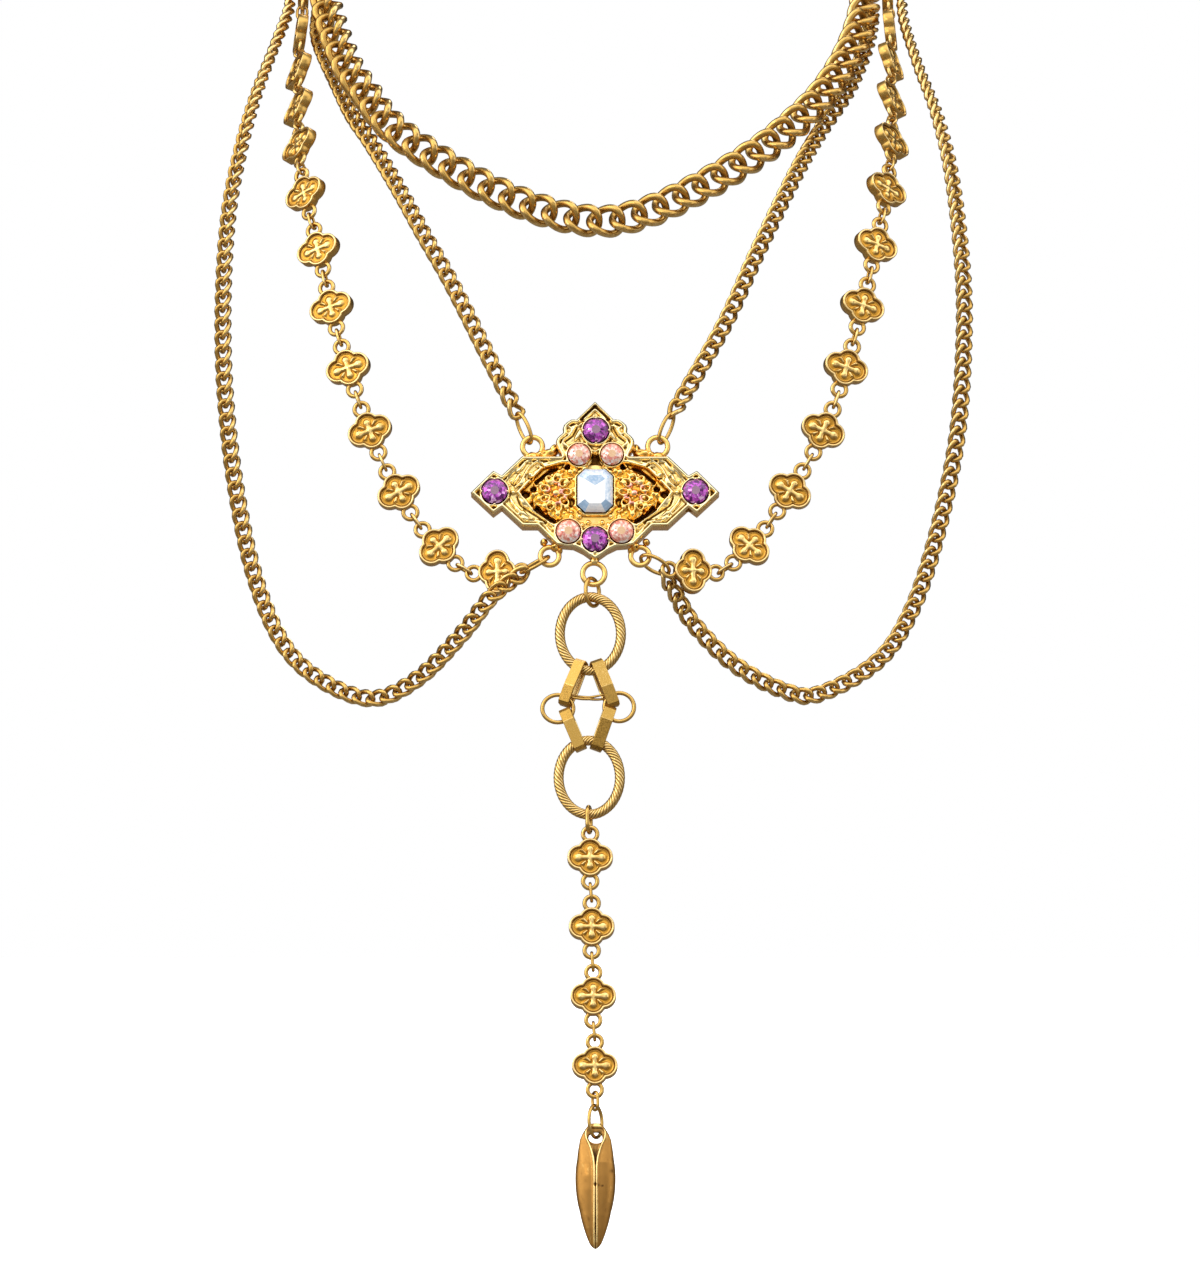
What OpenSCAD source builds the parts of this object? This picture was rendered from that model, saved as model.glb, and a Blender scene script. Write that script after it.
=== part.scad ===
/* [Overall] */
// Lean of the pendant front, top towards the wearer, in degrees
front_lean = 14; // [12:1:16]
// Clearance between pieces that hook through each other
hook_gap = 0.1; // [0.08:0.01:0.12]

/* [Heavy curb chain] */
// Outer length of one link
heavy_long = 9.25; // [9.2:0.05:9.3]
// Outer width of one link
heavy_wide = 7.8; // [7.7:0.1:7.9]
// Wire of one link
heavy_wire = 1.8; // [1.7:0.05:1.8]
// Number of links from one end of the clasp to the other
heavy_count = 76; // [75:1:77]

/* [Fine curb chains] */
// Width of a fine chain across its flat face
fine_wide = 3.7; // [3.5:0.1:3.8]
// Thickness of a fine chain
fine_thick = 2.0; // [1.9:0.1:2.1]
// Wire of the eye that ends a fine chain
fine_wire = 0.9; // [0.8:0.05:0.9]

/* [Quatrefoil links] */
// Width over the two side petals
leaf_wide = 10.2; // [10:0.1:10.3]
// Height over the upper and lower petals
leaf_high = 8.6; // [8.5:0.1:8.7]
// Thickness of a quatrefoil
leaf_thick = 2.4; // [2.2:0.1:2.6]
// Width of the raised rim
leaf_rim = 0.55; // [0.5:0.05:0.6]
// Distance from the centre to the middle of an eye
leaf_eye = 5.4; // [5.35:0.05:5.45]
// Wire of an eye
leaf_eye_wire = 1.0; // [0.95:0.05:1.0]
// Wire of the small link between two quatrefoils
small_wire = 0.7; // [0.65:0.05:0.7]

/* [Plaque] */
// Depth of the plaque from back to rim
plaque_deep = 5.2; // [5:0.1:5.4]
// Thickness of its outer wall
plaque_wall = 1.2; // [1.1:0.1:1.3]
// Thickness of the floor of the plaque's sunk windows
window_floor = 0.8; // [0.7:0.1:0.9]
// Width of its raised rim
plaque_rim = 0.8; // [0.7:0.1:0.9]
// Wire of the eyes round its edge
plaque_eye_wire = 1.2; // [1.1:0.1:1.2]

/* [Stones] */
// Diameter of the four purple stones
purple_wide = 5.6; // [5.5:0.1:5.7]
// Diameter of the two lower pink stones
pink_wide = 5.3; // [5.2:0.1:5.4]
// Width of the centre crystal
crystal_wide = 7.9; // [7.8:0.1:8]
// Height of the centre crystal
crystal_high = 9.9; // [9.8:0.1:10]

/* [Long drop] */
// Outer width of a twisted ring
twist_wide = 16; // [15.8:0.1:16.2]
// Outer height of a twisted ring
twist_high = 19.3; // [19.1:0.1:19.4]
// Wire of a twisted ring
twist_wire = 2.3; // [2.2:0.1:2.3]
// Length of an upper folded strap link
strap_long = 11.5; // [11.4:0.1:11.6]
// Length of a lower folded strap link
strap_long_low = 10.7; // [10.6:0.1:10.8]
// Width of its strip
strap_wide = 2.4; // [2.2:0.1:2.4]
// Thickness of its strip
strap_thick = 0.6; // [0.5:0.05:0.6]
// Length of the pointed pod
pod_long = 28.2; // [27.9:0.1:28.5]
// Width of the pod
pod_wide = 9.0; // [8.8:0.1:9.2]
// Thickness of the pod
pod_thick = 4.6; // [4.4:0.1:4.8]
// Bore of the pod's bail
pod_bore = 3.0; // [2.95:0.05:3.05]

/* [Hidden] */

GOLD = "goldenrod";
PALE_GOLD = "khaki";
BROWN_GOLD = "peru";
PURPLE = "mediumvioletred";
PINK = "lightsalmon";
CLEAR = "lightblue";

// Where the plaque's back plane has its centre
plaque_at = [0, -147.4, -144.5];
// Height of the middle plane of the plaque and the drop above the plaque's back
mid = 2.5;

// Routes, from the nape forwards and down: x, y, z, and how far the flat face turns outwards
HEAVY_ROUTE = [
    [  -8,    -0.8,   0.0, 176],
    [ -20,    -3.5,  -1.2, 165],
    [ -38,   -12.0,  -4.5, 140],
    [ -52.5, -26.5, -10.5, 110],
    [ -61.2, -45.5, -18.8,  70],
    [ -62.9, -63.0, -27.2,  35],
    [ -58,   -81.0, -42.5,  15],
    [ -53,   -89.0, -50.5,  12],
    [ -47.5, -96.0, -58.0,  10],
    [ -40,  -100.5, -64.0,   8],
    [ -26,  -105.5, -72.5,   4],
    [ -12,  -108.0, -78.5,   2],
    [   1,  -109.0, -81.0,   0],
    [  11.5, -108.5, -79.0, -2],
    [  22.5, -106.5, -74.0, -4],
    [  33.5, -103.0, -67.5, -8],
    [  43,   -97.5, -60.5, -10],
    [  53,   -88.5, -50.5, -12],
    [  60,   -76.5, -38.5, -16],
    [  62.9, -63.0, -27.2, -35],
    [  61.2, -45.5, -18.8, -70],
    [  52.5, -26.5, -10.5, -110],
    [  38,   -12.0,  -4.5, -140],
    [  20,    -3.5,  -1.2, -165],
    [   8,    -0.8,   0.0, -176]];
// The other routes begin on a gather ring; those of the sides end on the plaque's low rings
FRONT_LEFT_ROUTE = [
    [-64.6, -52.5, -30.5, 12],
    [-64.2, -64.0, -37.5, 15],
    [-59.2, -78.5, -49.0, 20],
    [-55.8, -87.5, -56.0, 20],
    [-51.5, -96.0, -62.5, 20],
    [-45,  -109.3, -73.5, 20],
    [-39,  -119.5, -84.5, 18],
    [-32.5, -127.5, -96.0, 15],
    [-23.5, -138.5, -114.0, 10],
    [-17.6, -144.6, -125.6, 5]];
FRONT_RIGHT_ROUTE = [
    [64.6, -52.5, -30.5, -12],
    [63.3, -64.5, -38.0, -15],
    [59.8, -76.0, -47.0, -18],
    [57,   -82.5, -52.0, -20],
    [52,   -91.0, -59.5, -20],
    [46,  -105.5, -70.0, -20],
    [37,  -122.0, -88.5, -18],
    [30,  -132.0, -104.0, -14],
    [22.5, -140.0, -117.5, -9],
    [17.6, -144.6, -125.6, -5]];
OUTER_LEFT_ROUTE = [
    [-71.5, -49.0, -23.8, 86],
    [-71.6, -57.5, -29.5, 82],
    [-74.5, -69.0, -38.5, 70],
    [-78.5, -83.5, -51.0, 60],
    [-81.5, -95.0, -63.5, 50],
    [-84,  -104.0, -78.5, 42],
    [-85,  -112.0, -97.5, 36],
    [-84.5, -118.0, -118.5, 30],
    [-82,  -124.0, -140.5, 25],
    [-77.5, -130.0, -161.5, 20],
    [-71,  -136.0, -177.0, 15],
    [-62.5, -140.0, -185.5, 12],
    [-50.5, -144.0, -190.0, 8],
    [-40,  -147.5, -185.5, 5],
    [-30,  -153.2, -175.5, 2],
    [-23.2, -156.8, -167.0, 0]];
OUTER_RIGHT_ROUTE = [
    [71.5, -49.0, -23.8, -86],
    [72.0, -60.0, -32.0, -81],
    [75,   -74.0, -43.5, -68],
    [79,   -88.0, -56.0, -58],
    [82,   -99.0, -70.5, -46],
    [84,  -110.0, -91.0, -38],
    [84.2, -115.5, -108.0, -32],
    [82.5, -121.0, -130.0, -27],
    [78,  -127.0, -151.5, -22],
    [72,  -133.0, -169.5, -17],
    [64,  -139.0, -181.5, -12],
    [50.5, -143.5, -189.0, -8],
    [42,  -145.5, -188.0, -5],
    [31,  -147.5, -182.0, -3],
    [22,  -149.0, -173.0, 0],
    [18,  -150.6, -166.3, 0]];
STRAND_LEFT_ROUTE = [
    [-68.2, -55.0, -24.8, 88],
    [-68.6, -64.0, -34.5, 82],
    [-68.8, -77.0, -44.0, 62],
    [-68.5, -90.5, -53.5, 55],
    [-68,  -103.5, -62.5, 48],
    [-66.5, -114.5, -74.0, 36],
    [-63,  -122.5, -87.5, 26],
    [-60,  -130.5, -101.0, 20],
    [-56,  -137.0, -115.0, 14],
    [-51,  -141.5, -129.5, 9],
    [-44.5, -145.0, -143.5, 5],
    [-36,  -148.5, -155.5, 2],
    [-28.5, -150.5, -161.3, 0],
    [-22.5, -151.8, -162.4, 0]];
STRAND_RIGHT_ROUTE = [
    [68.2, -55.0, -24.8, -88],
    [68.6, -68.0, -34.5, -82],
    [68.4, -82.5, -42.5, -62],
    [68.2, -95.0, -52.0, -56],
    [68,  -107.5, -62.0, -48],
    [66.5, -118.5, -74.0, -36],
    [63.8, -127.0, -87.0, -26],
    [60.5, -133.5, -101.5, -20],
    [56.5, -139.5, -116.0, -14],
    [51.5, -143.5, -130.0, -9],
    [43.7, -145.5, -143.7, -5],
    [35,  -148.5, -156.0, -2],
    [27.5, -151.4, -161.5, 0],
    [21.8, -153.2, -162.4, 0]];

// Small vector helpers
function unit(v) = v / norm(v);
function hundredths(v) = round(v * 100) / 100;
function turned(deg) = [-sin(deg), -cos(deg), 0.3 * cos(deg)];
function square_to(v, axis) = unit(v - (v * axis) * axis);

// A smooth curve through a route's rows, as rows of x, y, z and turn
function blend(a, b, c, d, t) =
    0.5 * ((2 * b) + (c - a) * t + (2 * a - 5 * b + 4 * c - d) * t * t
           + (3 * b - a - 3 * c + d) * t * t * t);
SAMPLES = 12;
function curve(r) = [
    for (i = [0 : len(r) - 2], j = [0 : SAMPLES - 1])
        blend(r[max(i - 1, 0)], r[i], r[i + 1], r[min(i + 2, len(r) - 1)], j / SAMPLES),
    r[len(r) - 1]];
function place_of(row) = [row[0], row[1], row[2]];
function lengths(c) = [
    for (i = 0, s = 0; i < len(c);
         i = i + 1, s = i < len(c) ? s + norm(place_of(c[i]) - place_of(c[i - 1])) : s) s];
// A track is a curve measured along its length, one lookup table for each column
function track(route) =
    let (c = curve(route), s = lengths(c))
    [for (k = [0 : 3]) [for (i = [0 : len(c) - 1]) [s[i], c[i][k]]]];
function track_end(t) = t[0][len(t[0]) - 1][0];
function at(t, s) = [for (k = [0 : 2]) lookup(s, t[k])];
function heading(t, s) = unit(at(t, s + 0.8) - at(t, s - 0.8));
function facing(t, s) = square_to(turned(lookup(s, t[3])), heading(t, s));

// A point of the leaning front frame: x right, y up along the plaque, z out of its face
function front(p) = plaque_at + [
    p[0],
    p[1] * sin(front_lean) - p[2] * cos(front_lean),
    p[1] * cos(front_lean) + p[2] * sin(front_lean)];
module on_front() {
    translate(plaque_at) rotate([90 - front_lean, 0, 0]) children();
}

// Gather rings: one round the heavy chain on each side of the neck
gather_mean = 7.5;
gather_wire = 1.1;
function gather_centre(side) = [side * 61.2, -45.5, -18.8];
function gather_way(side, a) = [side * cos(a), -0.5 * sin(a), 0.866 * sin(a)];
function gather_line(side, a) = [-side * sin(a), -0.5 * cos(a), 0.866 * cos(a)];
function gather_point(side, a) = gather_centre(side) + gather_mean * gather_way(side, a);
STRAND_AT = 22;
OUTER_AT = -15;
FRONT_AT = -70;

// Eyes of the plaque: x, y, mean radius of the wire
EYES = [[-14.1, 10.9, 2.25], [14.1, 10.9, 2.25], [-10.2, -14.5, 2.1], [10.1, -14.5, 2.1], [-0.3, -18.6, 2.5]];
function eye_place(k) = front([EYES[k][0], EYES[k][1], mid]);

// Low side rings of the plaque: each holds the end of a strand and the end of an outer chain
low_reach = 7.1;
low_half = 2.35;
low_hold = 0.3;
function low_eye(side) = eye_place(side < 0 ? 2 : 3);
function low_x(side) = unit([side * 0.87, 0.02, -0.49]);
function low_z(side) =
    square_to(side < 0 ? [-0.485, -0.18, 0.854] : [-0.365, -0.637, -0.674], low_x(side));
function low_y(side) = cross(low_z(side), low_x(side));
function low_point(side, a, out) =
    low_eye(side) + (low_hold + low_reach - low_half) * low_x(side)
    + out * (cos(a) * low_x(side) + sin(a) * low_y(side));
function low_line(side, a) = cos(a) * low_y(side) - sin(a) * low_x(side);
STRAND_END_AT = 24;
OUTER_END_AT = -46;

function row(p, turn) = [p[0], p[1], p[2], turn];
function strand_start(side) = [row(gather_point(side, STRAND_AT), -side * 78)];
function strand_end(side) = [row(low_point(side, side * STRAND_END_AT, low_half + 0.15), side < 0 ? 14 : 0)];
function outer_start(side) = [row(gather_point(side, OUTER_AT), -side * 85)];
function outer_end(side) = [row(low_point(side, side * OUTER_END_AT, low_half + 0.1), 0)];
function front_start(side) = [row(gather_point(side, FRONT_AT), -side * 10)];

heavy_track = track(HEAVY_ROUTE);
front_left_track = track(concat(front_start(-1), FRONT_LEFT_ROUTE));
front_right_track = track(concat(front_start(1), FRONT_RIGHT_ROUTE));
outer_left_track = track(concat(outer_start(-1), OUTER_LEFT_ROUTE, outer_end(-1)));
outer_right_track = track(concat(outer_start(1), OUTER_RIGHT_ROUTE, outer_end(1)));
strand_left_track = track(concat(strand_start(-1), STRAND_LEFT_ROUTE, strand_end(-1)));
strand_right_track = track(concat(strand_start(1), STRAND_RIGHT_ROUTE, strand_end(1)));

// Puts the x axis along one direction and the z axis as near as it can to another
module stand(where, along, out) {
    x = unit(along);
    z = square_to(out, x);
    y = cross(z, x);
    multmatrix([[x[0], y[0], z[0], where[0]],
                [x[1], y[1], z[1], where[1]],
                [x[2], y[2], z[2], where[2]],
                [0, 0, 0, 1]]) children();
}

// Faces of a closed ring of rings, and of a stack of rings with flat ends
function ring_faces(n, m, first) = [
    for (i = [0 : n - 1], j = [0 : m - 1])
        let (a = first + i * m + j, b = first + i * m + (j + 1) % m,
             c = first + ((i + 1) % n) * m + (j + 1) % m, d = first + ((i + 1) % n) * m + j)
        for (f = [[a, b, c], [a, c, d]]) f];
function stack_faces(n, m) = concat(
    [for (i = [0 : n - 2], j = [0 : m - 1])
        let (a = i * m + j, b = i * m + (j + 1) % m, c = (i + 1) * m + (j + 1) % m, d = (i + 1) * m + j)
        for (f = [[a, b, c], [a, c, d]]) f],
    [[for (j = [m - 1 : -1 : 0]) j]],
    [[for (j = [0 : m - 1]) (n - 1) * m + j]]);

function flipped(faces) = [for (f = faces) [for (i = [len(f) - 1 : -1 : 0]) f[i]]];

// Exact rings of round wire: round, and drawn out along x
module round_ring(mean, wire) {
    rotate_extrude($fn = 48) translate([mean, 0]) circle(d = wire, $fn = 24);
}
module long_ring(long, wide, wire) {
    mean = hundredths((wide - wire) / 2);
    reach = hundredths((long - wide) / 2);
    for (side = [-1, 1]) {
        translate([side * reach, 0, 0]) rotate([0, 0, side * 90 - 180])
            rotate_extrude(angle = 180, $fn = 48) translate([mean, 0]) circle(d = wire, $fn = 24);
        if (reach > 0)
            translate([-reach, side * mean, 0]) rotate([0, 90, 0])
                cylinder(h = 2 * reach, d = wire, $fn = 24);
    }
}

// Heavy curb chain: each link is an oval of wire, twisted so that both faces lie flat
LINK_STEPS = 12;
LINK_SIDES = 5;
heavy_pitch = track_end(heavy_track) / heavy_count;
heavy_half_long = (heavy_long - heavy_wire) / 2;
heavy_half_wide = (heavy_wide - heavy_wire) / 2;
heavy_twist = 1.5;
function link_line(a) = [heavy_half_long * cos(a), heavy_half_wide * sin(a), heavy_twist * sin(2 * a)];
function link_slope(a) =
    unit([-heavy_half_long * sin(a), heavy_half_wide * cos(a), 2 * heavy_twist * cos(2 * a)]);
LINK_POINTS = [
    for (i = [0 : LINK_STEPS - 1])
        let (a = 360 * i / LINK_STEPS, t = link_slope(a),
             u = unit(cross(t, [0, 0, 1])), v = cross(t, u))
        for (j = [0 : LINK_SIDES - 1])
            let (b = 360 * j / LINK_SIDES)
            link_line(a) + heavy_wire / 2 * (cos(b) * u + sin(b) * v)];
function heavy_place(k) = (k + 0.5) * heavy_pitch;
module neck_chain() {
    size = LINK_STEPS * LINK_SIDES;
    points = [
        for (k = [0 : heavy_count - 1])
            let (s = heavy_place(k), o = at(heavy_track, s), x = heading(heavy_track, s),
                 z = facing(heavy_track, s), y = cross(z, x))
            for (p = LINK_POINTS) o + p[0] * x + p[1] * y + p[2] * z];
    faces = [
        for (k = [0 : heavy_count - 1])
            for (f = flipped(ring_faces(LINK_STEPS, LINK_SIDES, k * size))) f];
    color(GOLD) polyhedron(points, faces, convexity = 10);
}

// Plain clasp bar at the nape, with an eye at each end that holds the end link
clasp_eye_wire = 1.3;
clasp_eye = 2.2;
function end_tangent(k, sign) =
    let (s = heavy_place(k), x = heading(heavy_track, s), z = facing(heavy_track, s))
    unit(sign * heavy_half_wide * cross(z, x) + 2 * heavy_twist * z);
module clasp() {
    hold = heavy_half_long + 0.3;
    eye_left = at(heavy_track, heavy_place(0)) - hold * heading(heavy_track, heavy_place(0));
    eye_right = at(heavy_track, heavy_place(heavy_count - 1))
        + hold * heading(heavy_track, heavy_place(heavy_count - 1));
    bar = norm(eye_right - eye_left) - 2 * clasp_eye;
    color(GOLD) union() {
        stand((eye_left + eye_right) / 2, [1, 0, 0], [0, 1, 0.3])
            rotate([0, 90, 0]) cylinder(h = bar, d = 4.2, center = true, $fn = 32);
        stand(eye_left, [1, 0, 0], end_tangent(0, -1)) round_ring(clasp_eye, clasp_eye_wire);
        stand(eye_right, [1, 0, 0], end_tangent(heavy_count - 1, 1)) round_ring(clasp_eye, clasp_eye_wire);
    }
}

module gather_ring(side) {
    color(GOLD) stand(gather_centre(side), [side, 0, 0], [0, -0.866, -0.5])
        round_ring(gather_mean, gather_wire);
}

// A fine chain in its plain form: a flat tube along the route with an eye at each end
FINE_SIDES = 8;
fine_eye = 1.35;
module fine_chain(route_track, rings, eye_out) {
    last = track_end(route_track);
    start = 1.5;
    step = (last - 2 * start) / (rings - 1);
    points = [
        for (i = [0 : rings - 1])
            let (s = start + i * step, o = at(route_track, s), x = heading(route_track, s),
                 z = facing(route_track, s), y = cross(z, x))
            for (j = [0 : FINE_SIDES - 1])
                let (b = 360 * (j + 0.5) / FINE_SIDES)
                o + fine_wide / 2 * cos(b) * y + fine_thick / 2 * sin(b) * z];
    color(GOLD) union() {
        polyhedron(points, flipped(stack_faces(rings, FINE_SIDES)));
        for (e = [0, 1])
            stand(at(route_track, e * last), heading(route_track, e * last), eye_out[e])
                round_ring(fine_eye, fine_wire);
    }
}

// Quatrefoil link: four petals, a raised rim, a sunk field with a bulb-ended cross, two eyes
petal = (leaf_high / 2 + leaf_wide / 2) / 3.4;
recess = 0.6;
module petals(radius, high) {
    for (side = [-1, 1]) {
        translate([0, side * (leaf_wide / 2 - petal), 0]) cylinder(h = high, r = radius, $fn = 32);
        translate([side * (leaf_high / 2 - petal), 0, 0]) cylinder(h = high, r = radius, $fn = 32);
    }
}
module quatrefoil() {
    top = leaf_thick / 2;
    arm = leaf_wide / 2 - petal;
    rise = leaf_high / 2 - petal;
    translate([0, 0, -top]) difference() {
        petals(petal, leaf_thick);
        translate([0, 0, leaf_thick - recess]) petals(petal - leaf_rim, leaf_thick);
    }
    for (side = [-1, 1]) {
        translate([0, side * arm * 1.15, top - recess - 0.2]) cylinder(h = 0.65, d = 1.7, $fn = 20);
        translate([side * rise * 1.3, 0, top - recess - 0.2]) cylinder(h = 0.65, d = 1.5, $fn = 20);
        translate([side * leaf_eye, 0, 0]) round_ring(1.6, leaf_eye_wire);
    }
    translate([-0.45, -arm, top - recess - 0.2]) cube([0.9, 2 * arm, 0.55]);
    translate([-rise, -0.45, top - recess - 0.2]) cube([2 * rise, 0.9, 0.6]);
}

// Where a small link's wire lies inside an eye, measured from the quatrefoil's centre
leaf_hold = leaf_eye + 1.6 - leaf_eye_wire / 2 - small_wire / 2 - hook_gap - 0.15;
small_wide = 3.0;
module small_link(long) {
    long_ring(long + small_wire, small_wide, small_wire);
}

// A strand of quatrefoils: the first small link hangs on the gather ring, the last eye on a low ring
LEAVES = 13;
leaf_pitch = 15.8;
strand_lead = small_wire / 2 + gather_wire / 2 + 2 * hook_gap;
function leaf_middle(t, s) = (at(t, s - leaf_eye) + at(t, s + leaf_eye)) / 2;
function leaf_way(t, s) = unit(at(t, s + leaf_eye) - at(t, s - leaf_eye));
module quatrefoil_strand(route_track) {
    last = track_end(route_track) - leaf_eye;
    first = last - (LEAVES - 1) * leaf_pitch;
    color(GOLD) union() {
        for (k = [0 : LEAVES - 1]) {
            s = first + k * leaf_pitch;
            before = s - leaf_pitch;
            stand(leaf_middle(route_track, s), leaf_way(route_track, s), facing(route_track, s)) quatrefoil();
            from = k == 0 ? at(route_track, 0) - strand_lead * heading(route_track, 1)
                          : leaf_middle(route_track, before) + leaf_hold * leaf_way(route_track, before);
            to = leaf_middle(route_track, s) - leaf_hold * leaf_way(route_track, s);
            middle = k == 0 ? s / 3 : s - leaf_pitch / 2;
            stand((from + to) / 2, to - from, cross(heading(route_track, middle), facing(route_track, middle)))
                small_link(norm(to - from));
        }
    }
}

// Outline of the right half of the plaque, top to bottom: x, y
HALF_OUTLINE = [
    [0, 20.9], [4.2, 16.7], [4.9, 17.0], [6.8, 15.6], [7.2, 13.8], [8.8, 12.2], [8.4, 10], [7.6, 8.2],
    [16.4, 8.2], [21, 3.7], [22.9, 4.8], [28, -0.3], [22.9, -5.2], [21, -3.7], [16.4, -8.1],
    [12.9, -8.1], [8.7, -12.4], [4.9, -12.7], [2.7, -13.8], [0, -15.8]];
function mirrored(half) = concat(half, [for (i = [len(half) - 2 : -1 : 1]) [-half[i][0], half[i][1]]]);
OUTLINE = mirrored(HALF_OUTLINE);
// The outline drawn in by a width, corner by corner
function inset(p, by) = [
    for (i = [0 : len(p) - 1])
        let (n = len(p), a = unit(p[i] - p[(i + n - 1) % n]), b = unit(p[(i + 1) % n] - p[i]),
             na = [a[1], -a[0]], nb = [b[1], -b[0]], m = unit(na + nb))
        p[i] + by / max(0.45, m * na) * m];
// Sunk window round one filigree cluster, right side
WINDOW = [[4.4, 6.2], [10, 6.3], [13.6, 4], [17.2, 0.2], [13.6, -4.6], [9.8, -7.1], [4.4, -7.1]];
// Discs of a filigree cluster: x, y, radius
CLUSTER = [
    [8.8, -0.4, 3.0], [8.2, 3.0, 2.3], [11.7, 1.3, 2.1], [11.9, -2.4, 2.1], [8.6, -4.3, 2.2],
    [5.6, 4.9, 2.0], [5.5, -5.6, 2.1], [5.4, 0.6, 2.2], [13.7, -0.6, 1.2], [15.6, -1.9, 0.9]];
// Nuggets of a cluster: x, y, radius
NUGGETS = [
    [8.8, -0.4, 1.1], [8.1, 3.6, 0.9], [6.6, 2.0, 0.8], [10.2, 2.2, 0.9], [12.3, 1.9, 0.8], [11.2, 0.1, 0.7],
    [12.6, -1.6, 0.8], [11.3, -3.3, 0.9], [9.2, -3.0, 0.8], [8.4, -5.2, 0.9], [6.4, -3.6, 0.8],
    [6.6, -1.0, 0.7], [5.6, 4.6, 0.8], [5.4, -5.8, 0.7], [14.0, -0.6, 0.5]];
// Leaf ribs on an arm: x and y of both ends, radius
RIBS = [
    [11.5, 7.0, 15.6, 5.6, 0.45], [14.4, 6.4, 18.6, 3.2, 0.5], [16.2, 3.3, 19.4, 1.2, 0.4],
    [11.8, -7.3, 15.4, -5.9, 0.45], [15.0, -6.2, 18.8, -2.9, 0.5], [16.2, -3.4, 19.4, -1.2, 0.4],
    [2.2, 16.6, 5.6, 13.8, 0.4], [4.4, 12.2, 6.6, 13.6, 0.4]];

// Stones: x, y, girdle diameter; the crystal is a cut octagon
STONES = [
    ["top", 0.2, 14.1, purple_wide], ["left", -22.6, -0.1, purple_wide],
    ["right", 22.6, -0.1, purple_wide], ["bottom", 0, -11.2, purple_wide],
    ["upper_left", -3.6, 8.5, 4.9], ["upper_right", 3.8, 8.5, 4.9],
    ["lower_left", -6.0, -9.4, pink_wide], ["lower_right", 5.9, -9.4, pink_wide]];
seat_floor = 3.2;
field = 4.2;
girdle = 5.0;
module round_stone(k) {
    s = STONES[k];
    r = s[3] / 2;
    rows = [[0.28, seat_floor + hook_gap], [1, girdle - 0.15], [1, girdle + 0.15], [0.62, girdle + 1.0]];
    n = 16;
    points = [
        for (q = rows) for (j = [0 : n - 1])
            [s[1] + r * q[0] * cos(360 * j / n), s[2] + r * q[0] * sin(360 * j / n), q[1]]];
    on_front() polyhedron(points, flipped(stack_faces(4, n)));
}
function octagon(w, h, cut) = [
    [w - cut, h], [-w + cut, h], [-w, h - cut], [-w, -h + cut],
    [-w + cut, -h], [w - cut, -h], [w, -h + cut], [w, h - cut]];
module centre_crystal() {
    w = crystal_wide / 2;
    h = crystal_high / 2;
    rows = [[0.35, seat_floor + 0.5], [1, 5.1], [1, 5.4], [0.8, 6.2], [0.55, 6.7]];
    points = [
        for (q = rows) for (p = octagon(w * q[0], h - w * (1 - q[0]), 2.1 * q[0])) [p[0], p[1], q[1]]];
    color(CLEAR) on_front()
        polyhedron(points, flipped(stack_faces(5, 8)));
}

module prism(points, from, to) {
    translate([0, 0, from]) linear_extrude(to - from) polygon(points);
}
module seat(x, y, wide) {
    translate([x, y, 0]) cylinder(h = girdle - 0.3, d = wide + 1.3, $fn = 32);
}
// The back of the windows' floors, and a right-hand shape turned to either side
window_back = 0.9;
function to_side(points, side) = [for (p = points) [side * p[0], p[1]]];
module plaque() {
    color(PALE_GOLD) on_front() difference() {
        union() {
            difference() {
                prism(OUTLINE, 0, field);
                prism(inset(OUTLINE, plaque_wall), -1, field - 1.7);
                for (side = [-1, 1]) prism(to_side(WINDOW, side), -1, field + 1);
            }
            for (side = [-1, 1]) difference() {
                prism(to_side(inset(WINDOW, -0.9), side), window_back, field - 1);
                prism(to_side(WINDOW, side), window_back + window_floor, field + 1);
            }
            difference() {
                prism(OUTLINE, field - 0.1, plaque_deep);
                prism(inset(OUTLINE, plaque_rim), 0, plaque_deep + 1);
            }
            translate([-5.1, -6.4, 1.4]) cube([10.2, 12, field - 1.4 + 0.5]);
            for (s = STONES) seat(s[1], s[2], s[3]);
            for (side = [-1, 1]) {
                for (c = CLUSTER)
                    translate([side * c[0], c[1], field - 1.8]) cylinder(h = 1.9, r = c[2], $fn = 28);
                for (c = NUGGETS)
                    translate([side * c[0], c[1], field + 0.1]) sphere(r = c[2], $fn = 20);
                for (r = RIBS) {
                    a = [side * r[0], r[1], field];
                    b = [side * r[2], r[3], field];
                    stand(a, b - a, [0, 0, 1]) rotate([0, 90, 0])
                        cylinder(h = norm(b - a), r = r[4], $fn = 20);
                }
                for (y = [-5.6 : 2.2 : 5.4])
                    translate([side * 4.6, y, field + 0.7]) sphere(r = 0.6, $fn = 20);
            }
            for (e = EYES)
                translate([e[0], e[1], mid]) round_ring(e[2], plaque_eye_wire);
            translate([0, -15.2, mid]) rotate([90, 0, 0]) cylinder(h = 1.2, d = 2.2, $fn = 24);
            for (side = [-1, 1]) {
                translate([side * 14.1, 8.3, 1.6]) cylinder(h = 1.85, d = 2, $fn = 24);
                translate([side * 9.0, -12.6, 1.6]) cylinder(h = 1.85, d = 2, $fn = 24);
            }
        }
        for (s = STONES)
            translate([s[1], s[2], seat_floor]) cylinder(h = 9, d = s[3] + 2 * hook_gap, $fn = 32);
        prism(octagon(crystal_wide / 2 + hook_gap, crystal_high / 2 + hook_gap, 2.1), seat_floor + 0.3, 9);
        prism([[-1.6, 5.5], [1.6, 5.5], [1.6, 6.9], [0.5, 8.6], [-0.5, 8.6], [-1.6, 6.9]], 3.1, 9);
    }
}

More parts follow.
